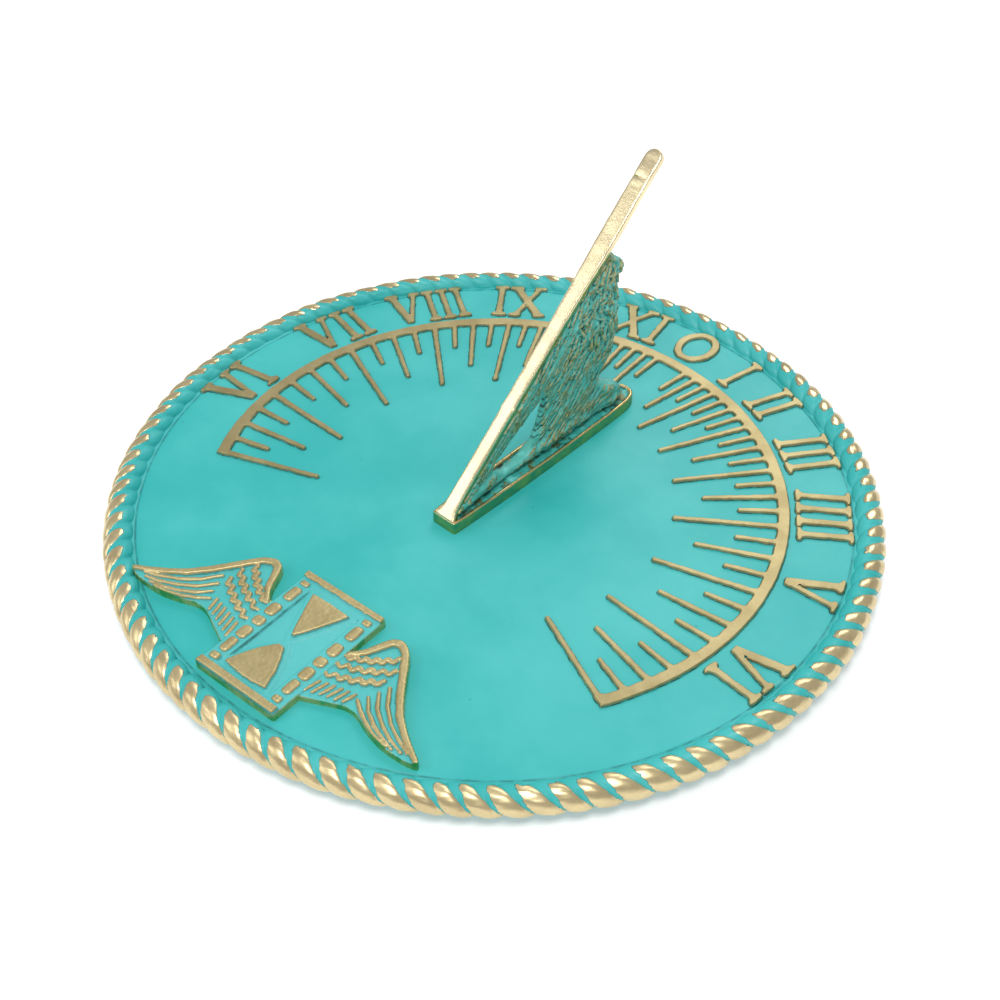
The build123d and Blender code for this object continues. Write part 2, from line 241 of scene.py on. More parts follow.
rings = np.concatenate([np.linspace(0.004, 0.114, 64), [0.1155, 0.1162, 0.11655, 0.1168, 0.1170, 0.11725, 0.1176, 0.1182]])
drop = np.concatenate([np.zeros(64), [0, 0, -0.05, -0.26, -0.22, -0.02, 0.12, 0.2]]) * mm
sides = 720
turn = np.linspace(0, 2 * math.pi, sides, endpoint=False)
RR, TT = np.meshgrid(rings, turn, indexing="ij")
x, y = RR * np.sin(TT), RR * np.cos(TT)
uneven = waviness(x, y, 38, 3) * 0.045 * mm + waviness(x, y, 120, 4) * 0.012 * mm
depth = 0.35 + 0.65 * np.clip(waviness(np.sin(turn) * 0.1, np.cos(turn) * 0.1, 120, 5) * 1.2 + 0.5, 0, 1)
z = face_z + uneven + drop[:, None] * np.where(drop[:, None] < 0, depth[None, :], 1)
points = np.stack([x, y, z], -1).reshape(-1, 3)
faces = rows_to_faces(len(rings), sides, True)
faces = [f[::-1] for f in faces]
points = np.concatenate([points, [[0, 0, face_z]]])
faces += [(len(points) - 1, (j + 1) % sides, j) for j in range(sides)]
in_seam = np.repeat(np.concatenate([np.zeros(65), [0.2, 0.7, 1, 0.9, 0.4, 0.1, 0]]), sides)
dial_face = add_piece("dial_face", points, faces, {"seam": np.append(in_seam, 0)})
fitted(dial_face, "dial_plate", face_paint)

# ------------------------------------------------------------------------------------------
# The rope rim: three strands laid round the edge, cast with the dial.  Paint stays between
# the strands and inside, and a belt sander has bared the brass along their tops.
# ------------------------------------------------------------------------------------------
rope_radius = 0.12215
rope_drop = 1.2 * mm
rope_thick = 4.85 * mm
rope_turns = 96
lay = 2.45                                                # strands passed by one radian round the rope

# bare metal showing through paint, with a ragged edge
bared, n, into, out = new_group(
    "ragged bare edge",
    [("Place", "NodeSocketVector", None), ("Bare", "NodeSocketFloat", 0.0), ("Ragged", "NodeSocketFloat", 0.35),
     ("Grain", "NodeSocketFloat", 420.0)],
    [("Mask", "NodeSocketFloat"), ("Rim", "NodeSocketFloat")])
coarse = n.new("ShaderNodeTexNoise")
n.link(into.outputs["Place"], coarse.inputs["Vector"])
n.link(into.outputs["Grain"], coarse.inputs["Scale"])
coarse.inputs["Detail"].default_value = 5.0
coarse.inputs["Roughness"].default_value = 0.62
shift = n.math("MULTIPLY", n.math("SUBTRACT", coarse.outputs[0], 0.5), into.outputs["Ragged"])
level = n.math("ADD", into.outputs["Bare"], shift)
n.link(n.ramp(level, 0.47, 0.53), out.inputs["Mask"])
n.link(n.math("MULTIPLY", n.ramp(level, 0.36, 0.47), n.ramp(level, 0.6, 0.5)), out.inputs["Rim"])

# sanded brass: dull gold with fine scratches
sanded, n, into, out = new_group(
    "sanded brass",
    [("Place", "NodeSocketVector", None), ("Brass", "NodeSocketColor", (0.5, 0.37, 0.16, 1)),
     ("Shine", "NodeSocketFloat", 0.0)],
    [("Color", "NodeSocketColor"), ("Roughness", "NodeSocketFloat"), ("Height", "NodeSocketFloat")])
stretch = n.new("ShaderNodeMapping")
stretch.inputs["Rotation"].default_value = (0, 0, 0.6)
stretch.inputs["Scale"].default_value = (1, 9, 3)
n.link(into.outputs["Place"], stretch.inputs["Vector"])
scratch = n.noise(stretch.outputs[0], 620.0, 4.0, 0.7)
patch = n.noise(into.outputs["Place"], 90.0, 4.0, 0.6)
pits = n.noise(into.outputs["Place"], 1500.0, 2.0, 0.5)
metal = n.mix(n.ramp(patch, 0.3, 0.7), n.mix(0.28, into.outputs["Brass"], (0.30, 0.20, 0.08)),
              n.mix(0.22, into.outputs["Brass"], (0.80, 0.66, 0.36)))
metal = n.mix(n.math("MULTIPLY", n.ramp(pits, 0.62, 0.74), 0.25), metal, (0.16, 0.11, 0.05))
n.link(metal, out.inputs["Color"])
dull = n.math("ADD", n.math("MULTIPLY", scratch, 0.16), 0.40)
n.link(n.math("SUBTRACT", dull, n.math("MULTIPLY", into.outputs["Shine"], 0.30)), out.inputs["Roughness"])
n.link(n.math("ADD", n.math("MULTIPLY", scratch, 0.6), n.math("MULTIPLY", pits, 0.4)), out.inputs["Height"])


def paint_over_brass(name, brass, ragged, grain, paint=None, shine=0.0, outline=0.6, wall=None):
    """Paint with brass bared where the piece's "bare" value is high; walls can carry a tarnish."""
    material, n, shader, place = surface(name)
    bare = n.new("ShaderNodeAttribute", attribute_name="bare").outputs["Fac"]
    edge = n.new("ShaderNodeGroup", node_tree=bared)
    n.link(place, edge.inputs["Place"])
    n.link(bare, edge.inputs["Bare"])
    edge.inputs["Ragged"].default_value = ragged
    edge.inputs["Grain"].default_value = grain
    film = n.new("ShaderNodeGroup", node_tree=paint_film)
    n.link(place, film.inputs["Place"])
    film.inputs["Paint"].default_value = (*(paint or paint_color), 1)
    film.inputs["Dirt"].default_value = (*dark_paint_tone, 1)
    gold = n.new("ShaderNodeGroup", node_tree=sanded)
    n.link(place, gold.inputs["Place"])
    gold.inputs["Brass"].default_value = (*brass, 1)
    if shine:
        lustre = n.new("ShaderNodeAttribute", attribute_name="shine").outputs["Fac"]
        n.link(n.math("MULTIPLY", lustre, shine), gold.inputs["Shine"])
    coat = n.mix(n.math("MULTIPLY", edge.outputs["Rim"], outline), film.outputs["Color"], dark_paint_tone)
    hollow = n.new("ShaderNodeAttribute", attribute_name="hollow").outputs["Fac"]
    # the paint is darkened to a dark teal in patches where the piece's "hollow" value is high: in grooves, at the feet
    # of raised shapes and at steps
    hollow_darkening = n.math("MULTIPLY", n.ramp(hollow, 0.3, 1.0), n.ramp(n.noise(place, 330.0, 4.0), 0.3, 0.62, 0.25, 0.95))
    coat = n.mix(hollow_darkening, coat, (0.006, 0.05, 0.042))
    color = n.mix(edge.outputs["Mask"], coat, gold.outputs["Color"])
    gloss = n.new("ShaderNodeMix")
    n.link(edge.outputs["Mask"], gloss.inputs[0])
    n.link(film.outputs["Roughness"], gloss.inputs[2])
    n.link(gold.outputs["Roughness"], gloss.inputs[3])
    metal = n.math("MULTIPLY", edge.outputs["Mask"], 0.9)
    roughness = gloss.outputs[0]
    if wall:
        side = n.new("ShaderNodeAttribute", attribute_name="wall").outputs["Fac"]
        blotch = n.noise(place, 160.0, 4.0, 0.6)
        tarnish = n.mix(n.ramp(blotch, 0.40, 0.62), wall[0], wall[1])
        color = n.mix(side, color, tarnish)
        metal = n.math("MAXIMUM", metal, n.math("MULTIPLY", side, 0.75))
    n.link(color, shader.inputs["Base Color"])
    n.link(metal, shader.inputs["Metallic"])
    n.link(roughness, shader.inputs["Roughness"])
    height = n.math("ADD", n.math("MULTIPLY", edge.outputs["Mask"], 0.35),
                    n.math("MULTIPLY", n.math("ADD", film.outputs["Height"], gold.outputs["Height"]), 0.5))
    bumped(n, shader, height, 0.0001, 0.55)
    return material


rope_finish = paint_over_brass("rope rim", (0.76, 0.63, 0.36), 0.72, 330.0, shine=1.0, outline=0.75)

around, over = rope_turns * 14, 44
start, stop = math.radians(-38), math.radians(214)       # from outside underneath, over the top, to the face
theta = np.linspace(0, 2 * math.pi, around, endpoint=False)
psi = np.linspace(start, stop, over)
TH, PS = np.meshgrid(theta, psi, indexing="ij")
wander = 0.16 * waviness(np.sin(TH) * 0.12, np.cos(TH) * 0.12, 60, 11)
phase = (rope_turns * TH - lay * (PS - math.pi / 2)) / (2 * math.pi) + wander
part_of = phase - np.floor(phase)                         # across one strand
lean = part_of ** 0.86
across = 2 * lean - 1
swell = np.sqrt(np.clip(1 - 0.93 * across ** 2, 0, 1))
size = 1 + 0.05 * waviness(np.floor(phase) * 0.37, np.zeros_like(phase), 1.0, 12)
smooth_inside = 1 / (1 + np.exp((PS - math.radians(168)) * 9))
groove = 1.75 * mm * (1 - swell) * smooth_inside
tube = rope_thick * size - groove - 0.02 * mm
tube -= 0.35 * mm * (1 - smooth_inside)
dents = waviness(TH * 4.1, PS * 0.6, 9.0, 14) * 0.09 + waviness(TH * 9.0, PS * 1.3, 9.0, 15) * 0.05
tube += dents * mm * np.clip(swell * 1.5 - 0.4, 0, 1) * smooth_inside
r = rope_radius + tube * np.cos(PS)
r = np.minimum(r, 0.12695)
z = face_z - rope_drop + tube * np.sin(PS)
points = np.stack([r * np.sin(TH), r * np.cos(TH), z], -1).reshape(-1, 3)
faces = []
for i in range(around):
    for j in range(over - 1):
        a, b = i * over + j, ((i + 1) % around) * over + j
        faces.append((a, a + 1, b + 1, b))
reach = np.clip((math.radians(128) - PS) / math.radians(34), 0, 1)
narrower = np.clip((PS - math.radians(35)) / math.radians(70), 0, 1)
crest = np.clip((0.96 - 0.26 * narrower - np.abs(across + 0.10)) / 0.36, 0, 1)
outside = np.clip((math.radians(40) - PS) / math.radians(45), 0, 1)
blotch = 0.16 * waviness(TH * 10, PS * 0.5, 9.0, 13) + 0.14 * waviness(TH * 30, PS * 1.4, 9.0, 16)
bare = reach * np.clip(crest + 0.25 * outside * np.clip(crest * 3, 0, 1), 0, 1) + blotch
hollow = np.clip((0.42 - swell) / 0.3, 0, 1) * smooth_inside
front = np.clip(0.5 - 0.5 * np.cos(TH - math.radians(150)), 0, 1)
rope_rim = add_piece("rope_rim", points, faces, {
    "bare": bare.ravel(), "hollow": (0.75 * hollow).ravel(), "shine": (0.35 + 0.65 * front).ravel()})
fitted(rope_rim, "dial_plate", rope_finish)

# ------------------------------------------------------------------------------------------
# The hour ring and its lines, cast proud of the face and sanded bare.  Lines for the hours,
# halves and quarters stop on three circles and aim at the two points where the style meets
# the face, so they fan out as the sundial law says.
# ------------------------------------------------------------------------------------------
relief = 1.1 * mm
ring_outer, ring_inner = 0.0964, 0.0925
line_half = 0.00090
tips = (0.0590, 0.0795, 0.0680, 0.0795)                   # hour, quarter, half, quarter
first_hour, last_hour = 5, 19
morning = (-0.0001, -0.0164, math.radians(42.0), 0.0)
evening = (-0.0016, -0.0092, math.radians(46.4), math.radians(2.8))


def hour_line(t):
    """Start on the ring and tip of the line for time t, in hours."""
    ox, oy, latitude, turned = morning if t < 12 else evening
    h = math.radians(15 * (t - 12))
    a = math.atan2(math.sin(latitude) * math.sin(h), math.cos(h)) + turned
    dx, dy = math.sin(a), math.cos(a)

    def out_to(radius):
        b = ox * dx + oy * dy
        s = -b + math.sqrt(b * b - (ox * ox + oy * oy - radius * radius))
        return ox + s * dx, oy + s * dy
    return out_to((ring_outer + ring_inner) / 2), out_to(tips[round(t * 4) % 4])


def bar_distance(x, y, start, end, half_a, half_b, round_by=0.0):
    """Signed distance to a straight bar, tapering from one half width to the other."""
    ax, ay = start
    bx, by = end
    length = math.hypot(bx - ax, by - ay)
    ux, uy = (bx - ax) / length, (by - ay) / length
    along = (x - ax) * ux + (y - ay) * uy
    side = np.abs((x - ax) * -uy + (y - ay) * ux)
    half = half_a + (half_b - half_a) * np.clip(along / length, 0, 1)
    dx = np.abs(along - length / 2) - length / 2 + round_by
    dy = side - half + round_by
    outside = np.hypot(np.maximum(dx, 0), np.maximum(dy, 0))
    return outside + np.minimum(np.maximum(dx, dy), 0) - round_by


def joined(a, b, soft):
    """Union of two distances with a small fillet where they meet."""
    h = np.clip(0.5 + 0.5 * (b - a) / soft, 0, 1)
    return b * (1 - h) + a * h - soft * h * (1 - h)


def outlines(distance, low, high, step):
    """Closed loops round the shape, each point on the zero of its distance."""
    nx, ny = int((high[0] - low[0]) / step) + 2, int((high[1] - low[1]) / step) + 2
    X, Y = np.meshgrid(low[0] + step * np.arange(nx), low[1] + step * np.arange(ny), indexing="ij")
    D = distance(X, Y)
    inside = D < 0
    code = inside[:-1, :-1] * 1 + inside[1:, :-1] * 2 + inside[1:, 1:] * 4 + inside[:-1, 1:] * 8
    table = {1: [(3, 0)], 2: [(0, 1)], 3: [(3, 1)], 4: [(1, 2)], 5: [(3, 0), (1, 2)], 6: [(0, 2)], 7: [(3, 2)],
             8: [(2, 3)], 9: [(2, 0)], 10: [(0, 1), (2, 3)], 11: [(2, 1)], 12: [(1, 3)], 13: [(1, 0)], 14: [(0, 3)]}

    def edge_key(i, j, side):
        return ((i, j, 0), (i + 1, j, 1), (i, j + 1, 0), (i, j, 1))[side]
    following = {}
    for i, j in zip(*np.nonzero((code > 0) & (code < 15))):
        for a, b in table[int(code[i, j])]:
            following[edge_key(i, j, a)] = edge_key(i, j, b)
    loops = []
    while following:
        key = next(iter(following))
        loop = []
        while key in following:
            loop.append(key)
            key = following.pop(key)
        points = []
        for i, j, up in loop:
            a = D[i, j]
            b = D[i, j + 1] if up else D[i + 1, j]
            t = a / (a - b)
            points.append((X[i, j] + (0 if up else t * step), Y[i, j] + (t * step if up else 0)))
        if len(points) > 8:
            loops.append(np.array(points))
    return loops


def slope(distance, p):
    """Unit direction away from the shape at each point."""
    e = 0.00004
    gx = distance(p[:, 0] + e, p[:, 1]) - distance(p[:, 0] - e, p[:, 1])
    gy = distance(p[:, 0], p[:, 1] + e) - distance(p[:, 0], p[:, 1] - e)
    g = np.stack([gx, gy], -1)
    return g / np.maximum(np.linalg.norm(g, axis=1, keepdims=True), 1e-12)


def respaced(loop, gap):
    closed = np.vstack([loop, loop[:1]])
    run = np.concatenate([[0], np.cumsum(np.linalg.norm(np.diff(closed, axis=0), axis=1))])
    count = max(int(run[-1] / gap), 12)
    where = np.linspace(0, run[-1], count, endpoint=False)
    return np.stack([np.interp(where, run, closed[:, 0]), np.interp(where, run, closed[:, 1])], -1)


def embossed(distance, low, high, step, gap, height, shoulder=0.24 * mm, flank=0.13 * mm, foot=0.20 * mm,
             sunk=0.45 * mm, rough=0.008 * mm, seed=1):
    """A raised shape with a sanded flat top, a soft shoulder, drafted flanks and a fillet foot."""
    wobble = lambda x, y: distance(x, y) + 0.13 * mm * waviness(x, y, 480, seed) + 0.08 * mm * waviness(x, y, 1300, seed + 1)
    #     offset out from the mid flank, height, bareness
    levels = [(-flank - shoulder, 1.0, 1.0), (-flank - 0.62 * shoulder, 0.985, 1.0), (-flank - 0.3 * shoulder, 0.94, 0.95),
              (-flank * 0.8, 0.82, 0.85), (0.0, 0.46, 0.62), (flank * 0.9, 0.17, 0.36),
              (flank + 0.35 * foot, 0.06, 0.12), (flank + foot, 0.005, 0.0), (flank + foot, -sunk / height, 0.0)]
    loops = [respaced(loop, gap) for loop in outlines(wobble, low, high, step)]
    points, faces, bare, hollow = [], [], [], []
    tops, bottoms = [], []
    for loop in loops:
        p = loop.copy()
        for _ in range(3):
            p = p - slope(wobble, p) * wobble(p[:, 0], p[:, 1])[:, None]
        away = slope(distance, p)
        away = (np.roll(away, 1, 0) + 2 * away + np.roll(away, -1, 0))
        away /= np.linalg.norm(away, axis=1, keepdims=True)
        first = len(points)
        count = len(p)
        for k, (offset, up, bareness) in enumerate(levels):
            q = p + away * offset
            z = face_z + up * height + (rough * waviness(q[:, 0], q[:, 1], 330, seed + 2) if up > 0.5 else 0)
            points += [(a, b, c) for a, b, c in zip(q[:, 0], q[:, 1], np.broadcast_to(z, count))]
            bare += [bareness] * count
            hollow += [1.0 if 0.0 < up < 0.2 else (0.4 if up < 0.3 else 0.0)] * count
        for k in range(len(levels) - 1):
            for i in range(count):
                a, b = first + k * count + i, first + k * count + (i + 1) % count
                faces.append((a, a + count, b + count, b))
        tops.append((first, count))
        bottoms.append((first + (len(levels) - 1) * count, count))
    inner = levels[0][0]
    for rings_at, is_top in ((tops, True), (bottoms, False)):
        flat, edges, index = [], [], []
        for first, count in rings_at:
            base = len(flat)
            flat += [Vector(points[first + i][:2]) for i in range(count)]
            index += list(range(first, first + count))
            edges += [(base + i, base + (i + 1) % count) for i in range(count)]
        if is_top:
            gx, gy = np.meshgrid(np.arange(low[0], high[0], gap * 2.2), np.arange(low[1], high[1], gap * 1.9), indexing="ij")
            gx = gx + (np.arange(gx.shape[1]) % 2)[None, :] * gap * 1.1
            gx, gy = gx.ravel(), gy.ravel()
            keep = distance(gx, gy) < inner - 0.45 * gap
            for a, b in zip(gx[keep], gy[keep]):
                flat.append(Vector((a, b)))
                index.append(len(points))
                points.append((a, b, face_z + height + rough * float(waviness(a, b, 330, seed + 2))))
                bare.append(1.0)
                hollow.append(0.0)
        verts, _, tris, origin, _, _ = delaunay_2d_cdt(flat, edges, [], 0, 1e-9)
        limit = inner + 0.12 * mm if is_top else levels[-1][0] + 0.12 * mm
        where = []
        for vert, o in zip(verts, origin):
            where.append(index[o[0]] if o else len(points))
            if not o:                                      # a point added where two outlines cross
                points.append((vert.x, vert.y, points[index[0]][2]))
                bare.append(bare[index[0]])
                hollow.append(0.0)
        centres = np.array([(sum((verts[i] for i in t), Vector((0, 0))) / 3)[:] for t in tris])
        inside = distance(centres[:, 0], centres[:, 1]) < limit
        for t, ok in zip(tris, inside):
            corner = [where[i] for i in t]
            if ok:
                faces.append(tuple(corner) if is_top else tuple(corner[::-1]))
    return np.array(points), faces, {"bare": bare, "hollow": hollow}


lines = [hour_line(q / 4) for q in range(first_hour * 4, last_hour * 4 + 1) if q != 48]


def ring_distance(x, y):
    r = np.hypot(x, y)
    band = np.maximum(r - ring_outer, ring_inner - r)
    for (start, _), side in ((lines[0], -1), (lines[-1], 1)):
        a = math.atan2(start[0], start[1])
        across = (x * math.cos(a) - y * math.sin(a)) * side
        ahead = x * math.sin(a) + y * math.cos(a)
        band = np.maximum(band, np.where(ahead > 0, across - line_half, band))
    behind = np.degrees(np.arctan2(x, y))
    band = np.where((behind > 150) | (behind < -150), 0.02, band)
    total = band
    for start, end in lines:
        near = bar_distance(x, y, start, end, line_half * 1.12, line_half * 0.86, 0.62 * mm)
        total = joined(total, near, 1.1 * mm)
    return total


points, faces, marks = embossed(ring_distance, (-0.098, -0.062), (0.098, 0.098), 0.00045, 0.00050,
                                relief, seed=21)
ring_finish = paint_over_brass("sanded hour ring", (0.455, 0.385, 0.195), 0.62, 420.0, outline=0.9)
middle = np.array([np.mean(points[list(f)], axis=0) for f in faces])
sector = np.degrees(np.arctan2(middle[:, 0], middle[:, 1]))
for k, (low, high) in enumerate(((-180, -62), (-62, 0), (0, 62), (62, 180))):
    chosen = [faces[i] for i in np.nonzero((sector >= low) & (sector < high))[0]]
    used = sorted({v for f in chosen for v in f})
    renumber = {v: i for i, v in enumerate(used)}
    section = add_piece(f"hour_lines_{k + 1}", points[used], [[renumber[v] for v in f] for f in chosen],
                        {m: np.asarray(v)[used] for m, v in marks.items()}, flat_tops=True)
    fitted(section, "dial_plate", ring_finish)

# ------------------------------------------------------------------------------------------
# The hour numerals, cast with the face: heavy serifed figures standing on the ring, with a
# plain ring for noon.  Their tops are sanded like the hour ring.
# ------------------------------------------------------------------------------------------
numerals = [  # name, strokes, angle, inner and outer radius, width (degrees and mm)
    ("six_am", "VI", -101.2, 97.9, 117.0, 22.0), ("seven_am", "VII", -76.7, 98.3, 117.4, 26.5),
    ("eight_am", "VIII", -56.7, 98.3, 117.5, 31.0), ("nine_am", "IX", -37.7, 98.8, 117.9, 21.0),
    ("ten_am", "X", -24.5, 98.9, 117.9, 14.4), ("eleven_am", "XI", -12.2, 98.9, 117.9, 21.0),
    ("noon", "O", 0.95, 98.9, 117.8, 15.3), ("one_pm", "I", 12.4, 98.9, 117.6, 5.9),
    ("two_pm", "II", 22.6, 98.9, 117.4, 12.2), ("three_pm", "III", 37.5, 98.4, 116.8, 18.6),
    ("four_pm", "IIII", 54.2, 98.4, 116.3, 24.5), ("five_pm", "V", 72.2, 98.2, 116.3, 15.0),
    ("six_pm", "VI", 93.6, 98.3, 116.2, 21.5)]
numeral_finish = paint_over_brass("sanded numerals", (0.44, 0.375, 0.19), 0.62, 420.0, outline=0.9)
stroke_widths = {"I": 6.1, "V": 15.6, "X": 14.4, "O": 15.3}


def stroke_shape(letter, x, y, cx, h, w):
    """Distance to one figure of a numeral, foot at y = 0, top at y = h, in metres."""
    m = mm
    if letter == "O":
        outer = np.hypot((x - cx) / (w / 2), (y - h / 2) / (h / 2))
        inner = np.hypot((x - cx) / (w / 2 - 3.0 * m), (y - h / 2) / (h / 2 - 2.6 * m))
        ring = np.minimum(w, h) / 2
        return np.maximum((outer - 1) * ring * 0.97, (1 - inner) * (w / 2 - 2.9 * m))
    serif = 0.72 * m
    if letter == "I":
        stem = bar_distance(x, y, (cx, 0.4 * m), (cx, h - 0.4 * m), 1.26 * m, 1.26 * m, 0.2 * m)
        stem = stem + 0.10 * m * (1 - np.abs(2 * y / h - 1) ** 2)
        feet = np.minimum(bar_distance(x, y, (cx - 2.75 * m, serif), (cx + 2.75 * m, serif), serif, serif, 0.5 * m),
                          bar_distance(x, y, (cx - 2.75 * m, h - serif), (cx + 2.75 * m, h - serif), serif, serif, 0.5 * m))
        return joined(stem, feet, 1.5 * m)
    if letter == "V":
        left = bar_distance(x, y, (cx - 4.6 * m, h - 0.3 * m), (cx + 0.4 * m, 0.8 * m), 1.55 * m, 1.45 * m, 0.3 * m)
        right = bar_distance(x, y, (cx + 5.0 * m, h - 0.3 * m), (cx + 0.5 * m, 0.8 * m), 0.95 * m, 1.05 * m, 0.3 * m)
        feet = np.minimum(
            bar_distance(x, y, (cx - 7.6 * m, h - serif), (cx - 1.8 * m, h - serif), serif, serif, 0.5 * m),
            bar_distance(x, y, (cx + 2.6 * m, h - serif), (cx + 7.4 * m, h - serif), serif, serif, 0.5 * m))
        return joined(joined(left, right, 0.8 * m), feet, 1.4 * m)
    thick = bar_distance(x, y, (cx - 4.6 * m, h - 0.3 * m), (cx + 4.6 * m, 0.3 * m), 1.5 * m, 1.5 * m, 0.3 * m)
    thin = bar_distance(x, y, (cx + 4.4 * m, h - 0.3 * m), (cx - 4.4 * m, 0.3 * m), 0.95 * m, 0.95 * m, 0.3 * m)
    feet = bar_distance(x, y, (cx - 7.0 * m, h - serif), (cx - 2.0 * m, h - serif), serif, serif, 0.5 * m)
    for side, at in ((1, h - serif), (-1, serif), (1, serif)):
        near, far = (2.2, 6.8) if side > 0 else (-6.8, -2.2)
        feet = np.minimum(feet, bar_distance(x, y, (cx + near * m, at), (cx + far * m, at), serif, serif, 0.5 * m))
    return joined(joined(thick, thin, 0.6 * m), feet, 1.3 * m)


for k, (name, strokes, angle, inner, outer, width) in enumerate(numerals):
    height = (outer - inner) * mm
    natural = sum(stroke_widths[s] for s in strokes)
    squeeze = width / natural
    centres, run = [], -natural / 2
    for s in strokes:
        centres.append((run + stroke_widths[s] / 2) * mm)
        run += stroke_widths[s]

    def figure(x, y):
        total = None
        for s, cx in zip(strokes, centres):
            one = stroke_shape(s, x / squeeze, y, cx, height, stroke_widths[s] * mm)
            total = one if total is None else joined(total, one, 0.25 * mm)
        return total
    half = width * mm / 2 + 0.8 * mm
    points, faces, marks = embossed(figure, (-half, -0.8 * mm), (half, height + 0.8 * mm), 0.00030, 0.00036,
                                    relief * 0.98, seed=40 + k)
    a = math.radians(angle)
    x, y = points[:, 0], points[:, 1] + inner * mm
    placed = np.stack([x * math.cos(a) + y * math.sin(a), -x * math.sin(a) + y * math.cos(a), points[:, 2]], -1)
    figure_piece = add_piece("numeral_" + name, placed, faces, marks, flat_tops=True)
    fitted(figure_piece, "dial_plate", numeral_finish)

# ------------------------------------------------------------------------------------------
# The gnomon's foot: a long slab with a rounded toe, green and gold round its edge, its top
# sunk a little inside a narrow raised margin.  Two screws from below hold it to the dial.
# ------------------------------------------------------------------------------------------
nose_y = -0.0243
foot_height = 4.45 * mm


def along_outline(points, gap):
    """A smoothed, evenly spaced line through the given corners."""
    p = np.array(points, float) * mm
    for _ in range(2):
        q = np.roll(p, -1, 0)
        p = np.stack([0.75 * p + 0.25 * q, 0.25 * p + 0.75 * q], 1).reshape(-1, 2)
    return respaced(p, gap)


def polygon_distance(poly):
    """Signed distance to a closed outline, negative inside."""
    a, b = poly, np.roll(poly, -1, 0)

    def distance(x, y):
        shape = np.shape(x)
        px, py = np.ravel(x), np.ravel(y)
        best = np.full(px.shape, 1e9)
        crossings = np.zeros(px.shape, bool)
        for (ax, ay), (bx, by) in zip(a, b):
            ex, ey = bx - ax, by - ay
            t = np.clip(((px - ax) * ex + (py - ay) * ey) / max(ex * ex + ey * ey, 1e-16), 0, 1)
            best = np.minimum(best, (px - ax - t * ex) ** 2 + (py - ay - t * ey) ** 2)
            if ay != by:
                spans = (ay > py) != (by > py)
                crossings ^= spans & (px < (bx - ax) * (py - ay) / (by - ay) + ax)
        return (np.sqrt(best) * np.where(crossings, -1, 1)).reshape(shape)
    return distance


foot_outline = along_outline([(-5.0, -23.9), (-4.4, -24.4), (4.4, -24.4), (5.0, -23.9), (5.5, -10), (5.9, 5), (6.05, 25),
                              (5.95, 45), (5.75, 58), (5.4, 63.5), (4.2, 67.2), (1.8, 69.0), (-1.8, 69.0), (-4.2, 67.2),
                              (-5.4, 63.5), (-5.75, 58), (-5.95, 45), (-6.05, 25), (-5.9, 5), (-5.5, -10)], 0.6 * mm)


def plate_between(distance, low, high, step, front, back):
    """A plate on a grid: its edge lies on the outline, and each side has its own heights."""
    nx, ny = int((high[0] - low[0]) / step) + 2, int((high[1] - low[1]) / step) + 2
    U, V = np.meshgrid(low[0] + step * np.arange(nx), low[1] + step * np.arange(ny), indexing="ij")
    D = distance(U, V)
    kept = D < 0.5 * step
    edge = np.abs(D) < 0.5 * step
    flat = np.stack([U[edge], V[edge]], -1)
    for _ in range(2):
        flat = flat - slope(distance, flat) * distance(flat[:, 0], flat[:, 1])[:, None]
    U[edge], V[edge] = flat[:, 0], flat[:, 1]
    D = np.where(edge, 0.0, D)
    number = -np.ones(U.shape, int)
    number[kept] = np.arange(kept.sum())
    a, b, c, d = number[:-1, :-1].ravel(), number[1:, :-1].ravel(), number[1:, 1:].ravel(), number[:-1, 1:].ravel()
    corners = np.stack([a, b, c, d], -1)
    held = (corners >= 0).sum(1)
    top = [tuple(q) for q in corners[held == 4]]
    top += [tuple(i for i in q if i >= 0) for q in corners[held == 3]]
    u, v, dist = U[kept], V[kept], D[kept]
    count = len(u)
    bottom = [tuple(i + count for i in f[::-1]) for f in top]
    once = {}
    for f in top:
        for i in range(len(f)):
            e = (f[i], f[(i + 1) % len(f)])
            if (e[1], e[0]) in once:
                del once[(e[1], e[0])]
            else:
                once[e] = True
    rim = [(e[0], e[0] + count, e[1] + count, e[1]) for e in once]
    return u, v, dist, front(u, v, dist), back(u, v, dist), top + bottom + rim


# green and gold tarnish of the gnomon's sides
verdigris, n, into, out = new_group(
    "verdigris",
    [("Place", "NodeSocketVector", None), ("Crest", "NodeSocketFloat", 0.5), ("Hollow", "NodeSocketFloat", 0.0),
     ("Wall", "NodeSocketFloat", 0.0), ("Gold", "NodeSocketColor", (0.40, 0.30, 0.10, 1)),
     ("Green", "NodeSocketColor", (0.035, 0.24, 0.19, 1))],
    [("Color", "NodeSocketColor"), ("Metal", "NodeSocketFloat"), ("Height", "NodeSocketFloat")])
broad = n.noise(into.outputs["Place"], 150.0, 4.0, 0.6)
tight = n.noise(into.outputs["Place"], 620.0, 5.0, 0.7)
blue = n.noise(into.outputs["Place"], 330.0, 3.0, 0.6)
bronze = n.math("ADD", into.outputs["Crest"], n.math("MULTIPLY", n.math("SUBTRACT", tight, 0.5), 0.9))
bronze = n.math("ADD", bronze, n.math("MULTIPLY", n.math("SUBTRACT", broad, 0.5), 0.8))
gold_mask = n.ramp(bronze, 0.40, 0.62)
green = n.mix(n.ramp(blue, 0.50, 0.68), into.outputs["Green"], (0.14, 0.62, 0.56))
green = n.mix(n.ramp(broad, 0.58, 0.72), green, (0.09, 0.20, 0.05))
green = n.mix(into.outputs["Wall"], green, n.mix(n.ramp(broad, 0.40, 0.62), (0.028, 0.27, 0.105), (0.12, 0.36, 0.07)))
